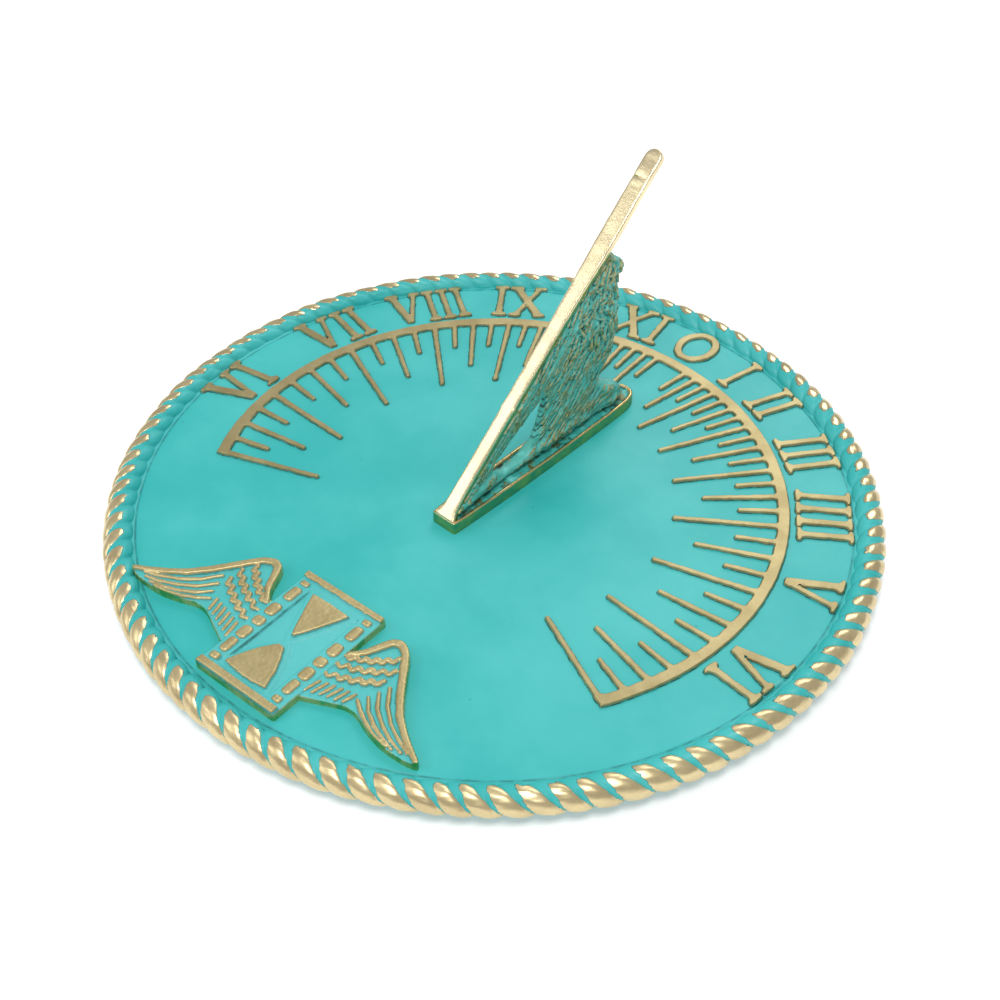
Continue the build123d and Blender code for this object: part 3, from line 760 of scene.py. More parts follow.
# darkened where "hollow" is high: patina in the eagle's grooves, darker patches on the foot, and painted shade on the
# style's underside
green = n.mix(n.ramp(into.outputs["Hollow"], 0.25, 0.95), green, (0.006, 0.055, 0.045))
gold = n.mix(n.ramp(tight, 0.42, 0.62), into.outputs["Gold"], (0.22, 0.21, 0.06))
n.link(n.mix(n.math("MULTIPLY", gold_mask, 0.85), green, gold), out.inputs["Color"])
n.link(n.math("MULTIPLY", gold_mask, 0.7), out.inputs["Metal"])
n.link(tight, out.inputs["Height"])


def tarnished(name, gold, green, roughness, edge_gold):
    """Brass gone green: gold where "bare" is high, dark where "hollow" is, polished at "shine"."""
    material, n, shader, place = surface(name)
    bare = n.new("ShaderNodeAttribute", attribute_name="bare").outputs["Fac"]
    hollow = n.new("ShaderNodeAttribute", attribute_name="hollow").outputs["Fac"]
    shine = n.new("ShaderNodeAttribute", attribute_name="shine").outputs["Fac"]
    patina = n.new("ShaderNodeGroup", node_tree=verdigris)
    n.link(place, patina.inputs["Place"])
    n.link(bare, patina.inputs["Crest"])
    n.link(hollow, patina.inputs["Hollow"])
    n.link(n.new("ShaderNodeAttribute", attribute_name="wall").outputs["Fac"], patina.inputs["Wall"])
    patina.inputs["Gold"].default_value = (*gold, 1)
    patina.inputs["Green"].default_value = (*green, 1)
    polish = n.new("ShaderNodeGroup", node_tree=sanded)
    n.link(place, polish.inputs["Place"])
    polish.inputs["Brass"].default_value = (*edge_gold, 1)
    polish.inputs["Shine"].default_value = 0.75
    ragged = n.math("ADD", shine, n.math("MULTIPLY", n.math("SUBTRACT", n.noise(place, 420.0, 4.0), 0.5), 0.45))
    mask = n.ramp(ragged, 0.42, 0.58)
    n.link(n.mix(mask, patina.outputs["Color"], polish.outputs["Color"]), shader.inputs["Base Color"])
    n.link(n.math("MAXIMUM", patina.outputs["Metal"], n.math("MULTIPLY", mask, 0.95)), shader.inputs["Metallic"])
    gloss = n.new("ShaderNodeMix")
    n.link(mask, gloss.inputs[0])
    n.link(n.math("ADD", n.math("MULTIPLY", patina.outputs["Height"], 0.2), roughness - 0.1), gloss.inputs[2])
    n.link(polish.outputs["Roughness"], gloss.inputs[3])
    n.link(gloss.outputs[0], shader.inputs["Roughness"])
    height = n.math("ADD", n.math("MULTIPLY", patina.outputs["Height"], 0.8),
                    n.math("MULTIPLY", polish.outputs["Height"], 0.2))
    bumped(n, shader, height, 0.00022, 0.6)
    return material


foot_distance = polygon_distance(foot_outline)
u, v, dist, top, under, faces = plate_between(
    foot_distance, (-0.0068, -0.0252), (0.0068, 0.0702), 0.00036,
    lambda u, v, d: foot_height - 0.95 * mm * np.clip((-d / mm - 1.05) / 0.55, 0, 1) ** 0.7
    + 0.24 * mm * waviness(u, v, 420, 61) * np.clip((-d / mm - 0.9), 0, 1) + 0.06 * mm * waviness(u, v, 700, 62)
    - 0.32 * mm * np.clip(1 + d / mm / 0.45, 0, 1) ** 2,
    lambda u, v, d: np.full_like(u, -0.3 * mm))
count = len(u)
margin = np.clip(1 - np.abs(-dist / mm - 0.60) / 1.2, 0, 1)
at_edge = np.abs(dist) < 1e-7
sunk_in = np.clip((-dist / mm - 0.9) / 0.5, 0, 1)
points = np.concatenate([np.stack([u, v, face_z + top], -1), np.stack([u * 1.012, v, face_z + under], -1)])
foot_finish = tarnished("green brass foot", (0.42, 0.36, 0.12), (0.05, 0.40, 0.36), 0.42, (0.66, 0.50, 0.22))
# darker in patches along the step down from the margin into the sunk top, and in patches on the sunk top
hollow_darkening = np.clip(0.55 + 0.7 * waviness(u, v, 260, 63), 0, 1) * np.clip(1 - np.abs(-dist / mm - 1.35) / 0.5, 0, 1)
gnomon_foot = add_piece("gnomon_foot", points, faces, {
    "bare": np.concatenate([np.where(at_edge, 0.30, 0.26 + 0.5 * margin + 0.34 * waviness(u, v, 520, 65)),
                            np.full(count, 0.10)]),
    "hollow": np.concatenate([np.clip(hollow_darkening + 0.75 * sunk_in * np.clip(waviness(u, v, 620, 64) * 2 - 0.2, 0, 1), 0, 1),
                              np.full(count, 0.55)]),
    "shine": np.concatenate([np.where(at_edge, 0.40, margin * 1.05), np.full(count, 0.0)]),
    "wall": np.concatenate([at_edge * 0.9, np.full(count, 1.0)])}, flat_sides=True)
fitted(gnomon_foot, "gnomon", foot_finish)

# ------------------------------------------------------------------------------------------
# The style: the bar whose polished top edge throws the shadow.  It rises at the latitude's
# angle from the nose, thins a little, then flares to a rounded end.  Its sides stay green
# where the eagle's feathers run into them, and bare on the free length.
# ------------------------------------------------------------------------------------------
style_tilt = math.radians(42.4)
style_length = 0.1344
style_thick = 2.8 * mm
stations = 220
section = 28
run = np.concatenate([np.linspace(0, style_length - 3.2 * mm, stations - 18),
                      style_length - 3.2 * mm * np.cos(np.linspace(0, math.pi / 2, 19)[1:])])
half = (2.62 - 0.95 * (run / mm / 60) + 0.77 * (run / mm / 60) ** 2) * mm
half = np.minimum(half, 3.1 * mm)
end = np.clip((run - (style_length - 3.2 * mm)) / (3.2 * mm), 0, 1)
half = half * np.sqrt(np.clip(1 - end ** 2, 0, 1)) + 0.02 * mm
half = half + 1.5 * mm * np.exp(-(run / (2.6 * mm)) ** 1.5)
half *= 1 + 0.018 * waviness(run, run * 0, 130, 71) + 0.012 * waviness(run, run * 0, 420, 72)
half += 0.35 * mm * np.exp(-((run - 0.0405) / (0.9 * mm)) ** 2)      # a nub left by the casting
corner = 0.42 * mm
profile = []
for k in range(section):
    t = 2 * math.pi * (k + 0.5) / section
    c, s = math.cos(t), math.sin(t)
    profile.append((math.copysign(abs(c) ** 0.32, c), math.copysign(abs(s) ** 0.32, s)))
profile = np.array(profile)
thick = style_thick * (1 - 0.25 * end ** 3)
across = profile[None, :, 0] * half[:, None]
lift = profile[None, :, 1] * thick[:, None] / 2 - style_thick / 2
top_side = np.clip((profile[:, 1] - 0.35) / 0.4, 0, 1)
lift = lift - top_side[None, :] * (0.10 * mm * (1 + waviness(run[:, None] + 0 * across, across, 260, 73)))
near_end = np.clip((run - 0.104) / 0.010, 0, 1)[:, None] * np.clip((style_length - 5 * mm - run) / (4 * mm), 0, 1)[:, None]
pits = np.clip(waviness(run[:, None] + 0 * across, across, 620, 74) - 0.45, 0, 1) * near_end * (across < -0.2 * mm)
lift = lift - top_side[None, :] * pits * 0.9 * mm
S = np.repeat(run[:, None], section, 1)
y = nose_y + S * math.cos(style_tilt) - lift * math.sin(style_tilt)
z = face_z + foot_height + 0.05 * mm + S * math.sin(style_tilt) + lift * math.cos(style_tilt)
start_cut = nose_y - 0.10 * mm
z = z - np.maximum(0, start_cut - y) * 0.2
y = np.maximum(y, start_cut)
points = np.stack([across, y, z], -1).reshape(-1, 3)
faces = [f[::-1] for f in rows_to_faces(len(run), section, True)]
points = np.vstack([points, points[:section].mean(0), points[-section:].mean(0)])
last = (len(run) - 1) * section
faces += [(len(points) - 2, j, (j + 1) % section) for j in range(section)]
faces += [(len(points) - 1, last + (j + 1) % section, last + j) for j in range(section)]
free = np.clip((run - 0.094) / 0.008, 0, 1)
side_level = np.broadcast_to(np.clip((profile[:, 1] + 0.98) / 0.45, 0, 1), across.shape)
gleam = np.maximum(np.clip((profile[:, 1][None, :] - 0.30) / 0.3, 0, 1), 0.85 * free[:, None])
gleam = np.maximum(gleam, np.exp(-(run / (1.5 * mm)) ** 2)[:, None] * (profile[:, 1][None, :] > 0.3))
# painted shade: the low side of the bar is darkened where the eagle stands under it, but not on the free length
painted_shade_under_bar = np.clip((-profile[:, 1] - 0.6) / 0.3, 0, 1)[None, :] * (1 - free)[:, None]
pad = lambda a, v: np.append(np.asarray(a).ravel(), [v, v])
style_finish = tarnished("polished style", (0.30, 0.40, 0.08), (0.07, 0.25, 0.05), 0.38, (0.97, 0.84, 0.55))
style_bar = add_piece("style_bar", points, faces, {
    "bare": pad(0.22 + 0.30 * side_level, 0.8),
    # its "hollow" value is painted shade under the bar plus the pits
    "hollow": pad(0.55 * painted_shade_under_bar + pits, 0.0),
    "shine": pad(gleam - 1.6 * pits, 1.0),
    "wall": pad(np.ones_like(across), 1.0)})
fitted(style_bar, "gnomon", style_finish)

# ------------------------------------------------------------------------------------------
# The eagle under the style, cast in one with it and alike on both sides.  It stands on a
# branch that runs along the foot to a mound of rock at the toe, and looks away from the
# nose.  Long wing feathers run down the style; the breast is a mat of short ones.
# ------------------------------------------------------------------------------------------
eagle_outline = [(-21.5, 3.6), (-21.0, 6.6), (-10, 14.9), (10, 33.1), (30, 51.4), (44, 64.2), (48.2, 68.8), (50.6, 70.4),
                 (53.4, 67.8), (55.6, 65.2), (58.6, 63.2), (60.4, 60.9), (60.2, 60.0), (59.3, 59.0), (57.2, 58.2), (57.0, 55.4),
                 (57.2, 52.0), (57.9, 48.2), (58.3, 44.2), (58.5, 38.0), (57.4, 30.4), (54.2, 26.0), (50.9, 23.1),
                 (49.0, 19.8), (49.6, 17.0), (52.4, 15.6), (55.0, 15.0), (58.4, 13.0), (61.6, 10.8), (63.8, 7.4), (64.8, 3.6)]
eagle_gap = [(24.5, 28.6), (16.0, 23.4), (8.5, 19.2), (3.0, 15.8), (-1.8, 12.2), (-1.6, 9.0), (4.6, 6.2), (11.0, 6.6), (16.0, 8.6),
             (20.4, 16.0)]
body_edge = polygon_distance(along_outline(eagle_outline, 0.7 * mm))
gap_edge = polygon_distance(along_outline(eagle_gap, 0.5 * mm))
eagle_distance = lambda y, z: np.maximum(body_edge(y, z), -gap_edge(y, z))

flow_marks = np.array([  # where, and which way the feathers lie there
    (-14, 9, -0.74, -0.67), (0, 20, -0.75, -0.66), (14, 31, -0.76, -0.65), (24, 42, -0.72, -0.69), (37, 54, -0.55, -0.83),
    (50, 64, -0.45, -0.89), (46, 60, -0.55, -0.83), (54, 50, -0.12, -0.99), (55, 40, -0.25, -0.97), (54, 31, -0.50, -0.87),
    (40, 42, -0.45, -0.89), (30, 34, -0.62, -0.78), (24, 28, -0.70, -0.71), (45, 25, -0.42, -0.91), (40, 18, -0.50, -0.87),
    (33, 13, -0.66, -0.75), (22, 14, -0.66, -0.75), (12, 24, -0.80, -0.60), (28, 22, -0.60, -0.80),
    (-12, 6, -0.97, -0.2), (2, 7, -0.98, -0.15), (16, 7.5, -0.98, -0.1), (30, 7, -0.98, -0.15), (42, 9, -0.95, -0.3),
    (50, 13, -0.9, -0.4), (60, 8, -0.6, -0.8)])


def lie(y, z):
    w = np.exp(-((y - flow_marks[:, 0]) ** 2 + (z - flow_marks[:, 1]) ** 2) / (2 * 6.5 ** 2)) + 1e-9
    d = (w[:, None] * flow_marks[:, 2:]).sum(0)
    return d / np.linalg.norm(d)


step = 0.38 * mm
low, high = (-0.0225, 0.0032), (0.0655, 0.0715)
nx, ny = int((high[0] - low[0]) / step) + 2, int((high[1] - low[1]) / step) + 2
gy, gz = low[0] / mm + step / mm * np.arange(nx), low[1] / mm + step / mm * np.arange(ny)
GY, GZ = np.meshgrid(gy, gz, indexing="ij")
plumage = np.zeros((nx, ny))
crest = np.zeros((nx, ny))


def stroke(y, z, length, width, height, turn_by=0.0, lift=0.0):
    """One feather: a tapering ridge that follows the lie of its neighbours."""
    pts = [(y, z)]
    for _ in range(max(3, int(length / 1.1))):
        d = lie(*pts[-1])
        c, s = math.cos(turn_by), math.sin(turn_by)
        pts.append((pts[-1][0] + 1.1 * (d[0] * c - d[1] * s), pts[-1][1] + 1.1 * (d[0] * s + d[1] * c)))
    pts = np.array(pts)
    i0, i1 = np.searchsorted(gy, (pts[:, 0].min() - 2, pts[:, 0].max() + 2))
    j0, j1 = np.searchsorted(gz, (pts[:, 1].min() - 2, pts[:, 1].max() + 2))
    if i1 <= i0 or j1 <= j0:
        return
    Y, Z = GY[i0:i1, j0:j1], GZ[i0:i1, j0:j1]
    best = np.full(Y.shape, 1e9)
    place = np.zeros(Y.shape)
    for k in range(len(pts) - 1):
        a, b = pts[k], pts[k + 1]
        e = b - a
        t = np.clip(((Y - a[0]) * e[0] + (Z - a[1]) * e[1]) / (e @ e), 0, 1)
        d = np.hypot(Y - a[0] - t * e[0], Z - a[1] - t * e[1])
        near = d < best
        best = np.where(near, d, best)
        place = np.where(near, (k + t) / (len(pts) - 1), place)
    w = width * (0.55 + 0.45 * np.sin(np.pi * np.clip(place * 0.8 + 0.12, 0, 1)))
    ridge = np.clip(1 - (best / w) ** 2, 0, 1) ** 0.75
    value = height * ridge * (0.45 + 0.55 * place) + lift * (ridge > 0)
    over = value > plumage[i0:i1, j0:j1]
    plumage[i0:i1, j0:j1] = np.where(over, value, plumage[i0:i1, j0:j1])
    crest[i0:i1, j0:j1] = np.where(over, ridge * (0.35 + 0.65 * place), crest[i0:i1, j0:j1])


seeds = []
for y0 in np.arange(-18, 64, 2.1):
    for z0 in np.arange(3.5, 72, 2.1):
        y1, z1 = y0 + rng.uniform(-0.8, 0.8), z0 + rng.uniform(-0.8, 0.8)
        if float(eagle_distance(np.array([y1 * mm]), np.array([z1 * mm]))[0]) < -0.4 * mm:
            seeds.append((y1, z1))
seeds.sort(key=lambda s: s[0] * 0.5 + s[1])
for y0, z0 in seeds:
    breast = math.exp(-((y0 - 48) ** 2 + (z0 - 49) ** 2) / 260)
    long = 8.5 - 5.2 * breast
    stroke(y0, z0, long * rng.uniform(0.7, 1.3), rng.uniform(0.46, 0.70), rng.uniform(0.8, 1.6),
           rng.normal(0, 0.12 + 0.62 * breast))
for k in range(9):                                         # the long wing feathers beside the style
    off = 2.0 + 0.85 * k
    for start_at in (42 - 3.2 * k, 24 - 2.4 * k, 8 - 1.2 * k):
        y0 = start_at + rng.uniform(-1.5, 1.5)
        z0 = 4.5 + 0.914 * (y0 + 24.3) - 3.4 - off * 1.30
        stroke(y0, z0, 20 + rng.uniform(-3, 4), 0.72, 1.05 + 0.25 * rng.random(), rng.normal(0, 0.02), 0.12)
for k in range(10):                                        # tail feathers, curving down to the branch
    stroke(49.0 - 2.3 * k, 28.0 - 0.9 * k + rng.uniform(-0.6, 0.6), 15 - 0.4 * k, 0.80, 1.2, rng.normal(0.0, 0.04), 0.15)

depth = -eagle_distance(GY * mm, GZ * mm) / mm
belly = 1.9 * np.exp(-(((GY - 47) / 11) ** 2 + ((GZ - 42) / 15) ** 2))
belly = belly + 0.7 * np.exp(-(((GY - 52) / 5) ** 2 + ((GZ - 63) / 5.5) ** 2))
rounded = np.sqrt(np.clip(1 - (1 - np.clip(depth / 1.9, 0, 1)) ** 2, 0, 1))
from_gap = gap_edge(GY * mm, GZ * mm) / mm
thin = 0.30 + 0.70 * np.clip(from_gap / 9.0, 0, 1)
branch_line = np.interp(GY, [-21, -7, 10, 30, 45, 52, 56], [5.0, 8.6, 7.4, 8.2, 10.2, 12.6, 13.0])
on_branch = np.exp(-((GZ - branch_line) / 1.9) ** 2)
mound = 1.6 * np.exp(-(((GY - 57) / 5.5) ** 2 + ((GZ - 8.5) / 5.5) ** 2))
bark = waviness(GY * mm * 0.6, GZ * mm * 1.6, 420, 81) * 0.42 + waviness(GY * mm, GZ * mm, 900, 82) * 0.30
low_down = np.clip((11.0 - 0.03 * GY - GZ) / 2.5, 0, 1)
low_down = np.maximum(low_down, np.clip((GY - 51.0) / 1.5, 0, 1) * np.clip((17 - GZ) / 1.5, 0, 1))
base = 0.55 + (1.1 + belly) * rounded * thin
ground = 1.0 * rounded + 1.3 * on_branch * rounded + mound * rounded + bark + 0.75 * plumage * rounded
height_of = base + plumage * rounded * (0.45 + 0.55 * thin)
height_of = height_of * (1 - low_down) + (0.6 + ground * (0.5 + 0.5 * thin)) * low_down
crest_of = crest * (1 - low_down) + np.clip(0.35 + bark * 1.3 + 0.35 * on_branch, 0, 1) * low_down
# head: flat brow over a sunk eye, a hooked beak with its mouth line, and a bare cheek
head = np.clip(1 - np.hypot((GY - 53.4) / 5.4, (GZ - 62.6) / 6.2), 0, 1) ** 0.5
brow_t = ((GY - 50.2) * 0.80 - (GZ - 67.6) * 0.60)
brow_d = ((GY - 50.2) * 0.60 + (GZ - 67.6) * 0.80)
brow = np.exp(-(brow_d / 0.62) ** 2) * np.clip(brow_t / 1.0, 0, 1) * np.clip((7.5 - brow_t) / 1.2, 0, 1)
eye = np.exp(-((GY - 52.9) ** 2 + (GZ - 64.0) ** 2) / 0.42)
socket = np.exp(-((GY - 53.0) ** 2 + (GZ - 63.9) ** 2) / 1.7)
beak = np.clip(1 - np.hypot((GY - 58.2) / 3.0, (GZ - 60.8) / 2.9), 0, 1) ** 0.6
mouth = np.exp(-(((GZ - 60.0) - 0.35 * (GY - 56)) / 0.35) ** 2) * np.clip((GY - 53.6) / 1.0, 0, 1)
cheek = np.exp(-((GY - 52.4) ** 2 / 3.4 + (GZ - 60.6) ** 2 / 4.5))
height_of = height_of * (1 - 0.5 * head) + (1.5 + 0.8 * rounded) * 0.5 * head
height_of = height_of + 1.0 * brow - 1.0 * socket + 0.85 * eye + 0.9 * beak * rounded - 0.6 * mouth + 0.5 * cheek
crest_of = np.clip(crest_of * (1 - 0.4 * head) + 0.55 * head * (waviness(GY * mm, GZ * mm, 620, 83) > -0.2) + 0.5 * brow
                   + 0.7 * beak - 1.0 * (socket - eye).clip(0, 1) - 0.8 * mouth, 0, 1)
height_of = np.minimum(height_of, 5.0)


def from_grid(grid):
    """Reads a grid of values at any place, evenly between its points."""
    def read(u, v):
        fu = np.clip((u - low[0]) / step, 0, nx - 1.001)
        fv = np.clip((v - low[1]) / step, 0, ny - 1.001)
        i, j = fu.astype(int), fv.astype(int)
        s, t = fu - i, fv - j
        return (grid[i, j] * (1 - s) * (1 - t) + grid[i + 1, j] * s * (1 - t)
                + grid[i, j + 1] * (1 - s) * t + grid[i + 1, j + 1] * s * t)
    return read


side_height = from_grid(height_of)
grid_distance = from_grid(eagle_distance(GY * mm, GZ * mm))
thickness = lambda u, v, d: side_height(u, v) * mm
u, v, dist, front, back, faces = plate_between(grid_distance, low, high, step, thickness,
                                               lambda u, v, d: -thickness(u, v, d))
points = np.concatenate([np.stack([front, u, face_z + v], -1), np.stack([back, u, face_z + v], -1)])
around_it = np.roll(plumage, 2, 0) + np.roll(plumage, -2, 0) + np.roll(plumage, 2, 1) + np.roll(plumage, -2, 1)
level_out = plumage - around_it / 4
front_edge = np.exp(-np.abs(depth - 0.6) / 0.8) * np.clip((GY - 47) / 5, 0, 1)
worn = np.clip(crest_of * 0.62 + 0.75 * np.clip(level_out, -1, 1) + 0.35 * front_edge + 0.3 * head, 0, 1)
crests = from_grid(worn * np.clip(depth / 0.7, 0.25, 1))(u, v)
grooves = from_grid(np.clip(-level_out * 3.2 - 0.1, 0, 1) * (1 - low_down))(u, v)
eagle_finish = tarnished("verdigris eagle", (0.66, 0.56, 0.27), (0.085, 0.47, 0.40), 0.42, (0.6, 0.48, 0.2))
twice = lambda a: np.concatenate([a, a])
eagle = add_piece("eagle", points, faces, {"bare": twice(0.95 * crests), "hollow": twice(0.9 * grooves),
                                           "shine": twice(np.zeros(len(crests)))})
fitted(eagle, "gnomon", eagle_finish)

# ------------------------------------------------------------------------------------------
# The winged hourglass: a flat brass casting screwed to the south of the face.  The glass
# stands between two beaded posts and two bars; its sand, the posts and the feathers' ridges
# are sanded bare, and paint fills the hollows.  Its sides are left green.
# ------------------------------------------------------------------------------------------
emblem_at = (2.5 * mm, -90.7 * mm)
emblem_turn = math.radians(3.44)
emblem_scale = 1.02
bar_height, post_height, sand_height, panel_height, wing_height = 3.85, 3.75, 3.45, 1.75, 2.20

wing_outline = [(13.0, 4.6), (16, 6.6), (19, 10.0), (20.6, 14.4), (22.3, 18.5), (25.7, 20.0), (29.7, 17.7), (34, 11.6),
                (38.3, 5.5), (43.2, -0.5), (48.2, -4.3), (53, -7.5), (57.2, -9.8), (55.5, -10.9), (51.5, -11.6), (44, -11.6),
                (37.5, -9.9), (32.3, -7.7), (28.2, -7.6), (24.5, -9.3), (20, -11.4), (15.6, -13.3), (13.0, -13.0)]
leading_edge = [(16.8, 7.0), (19.8, 9.8), (21.6, 14.0), (23.4, 17.6), (25.8, 18.6), (28.9, 16.8), (33.0, 11.2), (37.4, 5.0),
                (42.4, -1.1), (47.6, -5.0), (52.4, -8.1), (56.2, -9.9)]
long_feathers = [[(33.6, 4.6), (37.4, -0.6), (42.2, -4.6), (47.6, -7.4), (52.2, -9.2)],
                 [(32.4, 1.4), (36.0, -3.2), (40.8, -6.4), (45.8, -8.8), (50.6, -10.1)],
                 [(31.2, -1.6), (34.6, -5.2), (39.0, -7.9), (43.4, -9.6), (48.0, -10.8)],
                 [(29.6, -4.2), (32.6, -6.4), (36.6, -8.6), (41.0, -10.4), (46.0, -11.1)]]
short_feathers = [[(28.0 - 2.2 * k, -3.0 - 0.55 * k), (26.9 - 2.2 * k, -7.2 - 0.72 * k)] for k in range(6)]
covert_rows = [((28.6, 14.2), (16.0, 5.6)), ((30.9, 10.2), (15.8, 1.9)), ((30.9, 5.4), (15.4, -2.5))]


def scalloped(start, end, scallops=5, droop=1.35):
    """A row of overlapping feather ends between two points, hanging towards the tip side."""
    (ax, ay), (bx, by) = start, end
    length = math.hypot(bx - ax, by - ay)
    nx, ny = (by - ay) / length, -(bx - ax) / length
    if ny > 0:
        nx, ny = -nx, -ny
    line = []
    for k in range(scallops * 8 + 1):
        t = k / (scallops * 8)
        hang = droop * (0.5 - 0.5 * math.cos(2 * math.pi * t * scallops))
        bow = 0.9 * math.sin(math.pi * t)
        line.append((ax + (bx - ax) * t + nx * (hang + bow), ay + (by - ay) * t + ny * (hang + bow)))
    return line


def line_distance(u, v, line):
    """Distance to an open line, and how far along it the nearest place is."""
    best = np.full(u.shape, 1e9)
    place = np.zeros(u.shape)
    for k, ((ax, ay), (bx, by)) in enumerate(zip(line[:-1], line[1:])):
        ex, ey = bx - ax, by - ay
        t = np.clip(((u - ax) * ex + (v - ay) * ey) / (ex * ex + ey * ey), 0, 1)
        d = np.hypot(u - ax - t * ex, v - ay - t * ey)
        near = d < best
        best, place = np.where(near, d, best), np.where(near, (k + t) / (len(line) - 1), place)
    return best, place


step_e = 0.30
eu, ev = np.arange(-60.4, 60.5, step_e), np.arange(-24.0, 24.1, step_e)
EU, EV = np.meshgrid(eu, ev, indexing="ij")
west = EU < 0
side = np.abs(EU)
side = np.where(side > 13, 13 + (side - 13) / np.where(west, 1.045, 1.02), side)
wing_v = EV - np.where(west, 0.6, 0.2) * np.clip((side - 13) / 6, 0, 1)
shake = 0.10 * waviness(EU * mm, EV * mm, 420, 91) + 0.07 * waviness(EU * mm, EV * mm, 1100, 92)
height_e = np.full(EU.shape, wing_height) + 0.12 * waviness(EU * mm, EV * mm, 300, 93)
gold_e = np.zeros(EU.shape)


def ridge(line, width, top, flat=0.35):
    """Lays a ridge with a sanded top along a line, over what is already there."""
    global height_e, gold_e
    d, place = line_distance(side, wing_v, line)
    w = width * (0.75 + 0.25 * np.sin(np.pi * np.clip(place + 0.08, 0, 1)))
    inside = np.clip((w - d - shake) / (w * (1 - flat)), 0, 1)
    lifted = (inside * inside * (3 - 2 * inside)) * (top - wing_height) + wing_height
    gold_e = np.where(lifted > height_e, np.maximum(gold_e, np.clip((inside - 0.25) / 0.5, 0, 1)), gold_e)
    height_e = np.maximum(height_e, lifted)


ridge(leading_edge, 1.75, 3.55, 0.6)
for line in long_feathers:
    ridge(line, 0.88, 3.15, 0.4)
for line in short_feathers:
    ridge(line, 0.80, 3.05, 0.4)
for start, end in covert_rows:
    ridge(scalloped(start, end), 1.12, 3.3, 0.5)
under_edge = [(28.4, -8.2), (32.3, -8.3), (37.5, -10.5), (44, -12.1), (51.5, -12.0), (55.5, -11.2)]
ridge(under_edge, 0.75, 3.0)


def soft_box(u, v, cx, cy, half_u, half_v, corner):
    dx, dy = np.abs(u - cx) - half_u + corner, np.abs(v - cy) - half_v + corner
    return np.hypot(np.maximum(dx, 0), np.maximum(dy, 0)) + np.minimum(np.maximum(dx, dy), 0) - corner


def raise_by(distance, top, gold, edge=0.45, dome=0.0):
    """Lifts what lies inside a distance to a height, with a soft edge."""
    global height_e, gold_e
    inside = np.clip((-(distance + shake)) / edge, 0, 1)
    soft = inside * inside * (3 - 2 * inside)
    level = top - dome * np.clip(1 + distance / 1.6, 0, 1) ** 2
    height_e = height_e * (1 - soft) + level * soft
    gold_e = gold_e * (1 - soft) + gold * np.clip((inside - 0.3) / 0.5, 0, 1)


block = soft_box(EU, EV, 0.1, 0.0, 15.8, 22.95, 0.8)
within = block < 0
height_e = np.where(within, 2.75, height_e)
gold_e = np.where(within, 0.0, gold_e)
panel = soft_box(EU, EV, 0, -0.6, 9.9, 18.6, 0.6)
raise_by(panel, panel_height, 0.0, 0.5)


def triangle(u, v, corners, bulge=0.0):
    (ax, ay), (bx, by), (cx, cy) = corners
    d = None
    for (px, py), (qx, qy) in (((ax, ay), (bx, by)), ((bx, by), (cx, cy)), ((cx, cy), (ax, ay))):
        ex, ey = qx - px, qy - py
        length = math.hypot(ex, ey)
        one = ((u - px) * ey - (v - py) * ex) / length
        along = ((u - px) * ex + (v - py) * ey) / length ** 2
        one = one - bulge * np.sin(np.pi * np.clip(along, 0, 1))
        d = one if d is None else np.maximum(d, one)
    return d


upper_sand = triangle(EU, EV, [(7.3, 17.1), (-8.2, 17.1), (-0.9, -0.2)], 0.25)
lower_sand = triangle(EU, EV, [(-9.2, -17.5), (7.6, -17.6), (-0.4, -1.6)], 1.0)
glass = np.minimum(upper_sand, lower_sand) - 1.9
raise_by(glass, panel_height + 0.50, 0.0, 1.2)
raise_by(np.maximum(upper_sand, 1.2 - EV), sand_height, 1.0, 0.45)
raise_by(np.maximum(lower_sand, EV + 3.2), sand_height, 1.0, 0.45)
for at in (-12.5, 12.7):
    for cy, half_v, half_u in ((18.2, 1.35, 1.85), (12.9, 3.3, 1.95), (4.9, 2.9, 2.2), (-0.9, 2.15, 2.3), (-6.5, 2.8, 2.2),
                               (-12.6, 3.2, 1.9), (-18.0, 1.5, 1.9)):
        raise_by(soft_box(EU, EV, at, cy, half_u, half_v, min(half_u, half_v) * 0.8), post_height, 1.0, 0.55, 0.45)
raise_by(soft_box(EU, EV, 0.2, 21.75, 15.9, 1.3, 0.4), bar_height, 1.0, 0.42)
raise_by(soft_box(EU, EV, -0.1, -21.45, 15.6, 1.5, 0.4), bar_height, 1.0, 0.42)

wing_edge = polygon_distance(along_outline(wing_outline, 0.6 * mm))
wings_field = np.asarray(wing_edge(side * mm, wing_v * mm)) / mm
outline_e = np.minimum(wings_field, block)
pitted = 0.05 * waviness(EU * mm, EV * mm, 1500, 94)
height_e = height_e - 0.35 * np.clip(1 + outline_e / 0.55, 0, 1) ** 2 + pitted


def emblem_grid(grid):
    def read(u, v):
        fu = np.clip((u / mm - eu[0]) / step_e, 0, len(eu) - 1.001)
        fv = np.clip((v / mm - ev[0]) / step_e, 0, len(ev) - 1.001)
        i, j = fu.astype(int), fv.astype(int)
        s, t = fu - i, fv - j
        return (grid[i, j] * (1 - s) * (1 - t) + grid[i + 1, j] * s * (1 - t)
                + grid[i, j + 1] * (1 - s) * t + grid[i + 1, j + 1] * s * t)
    return read


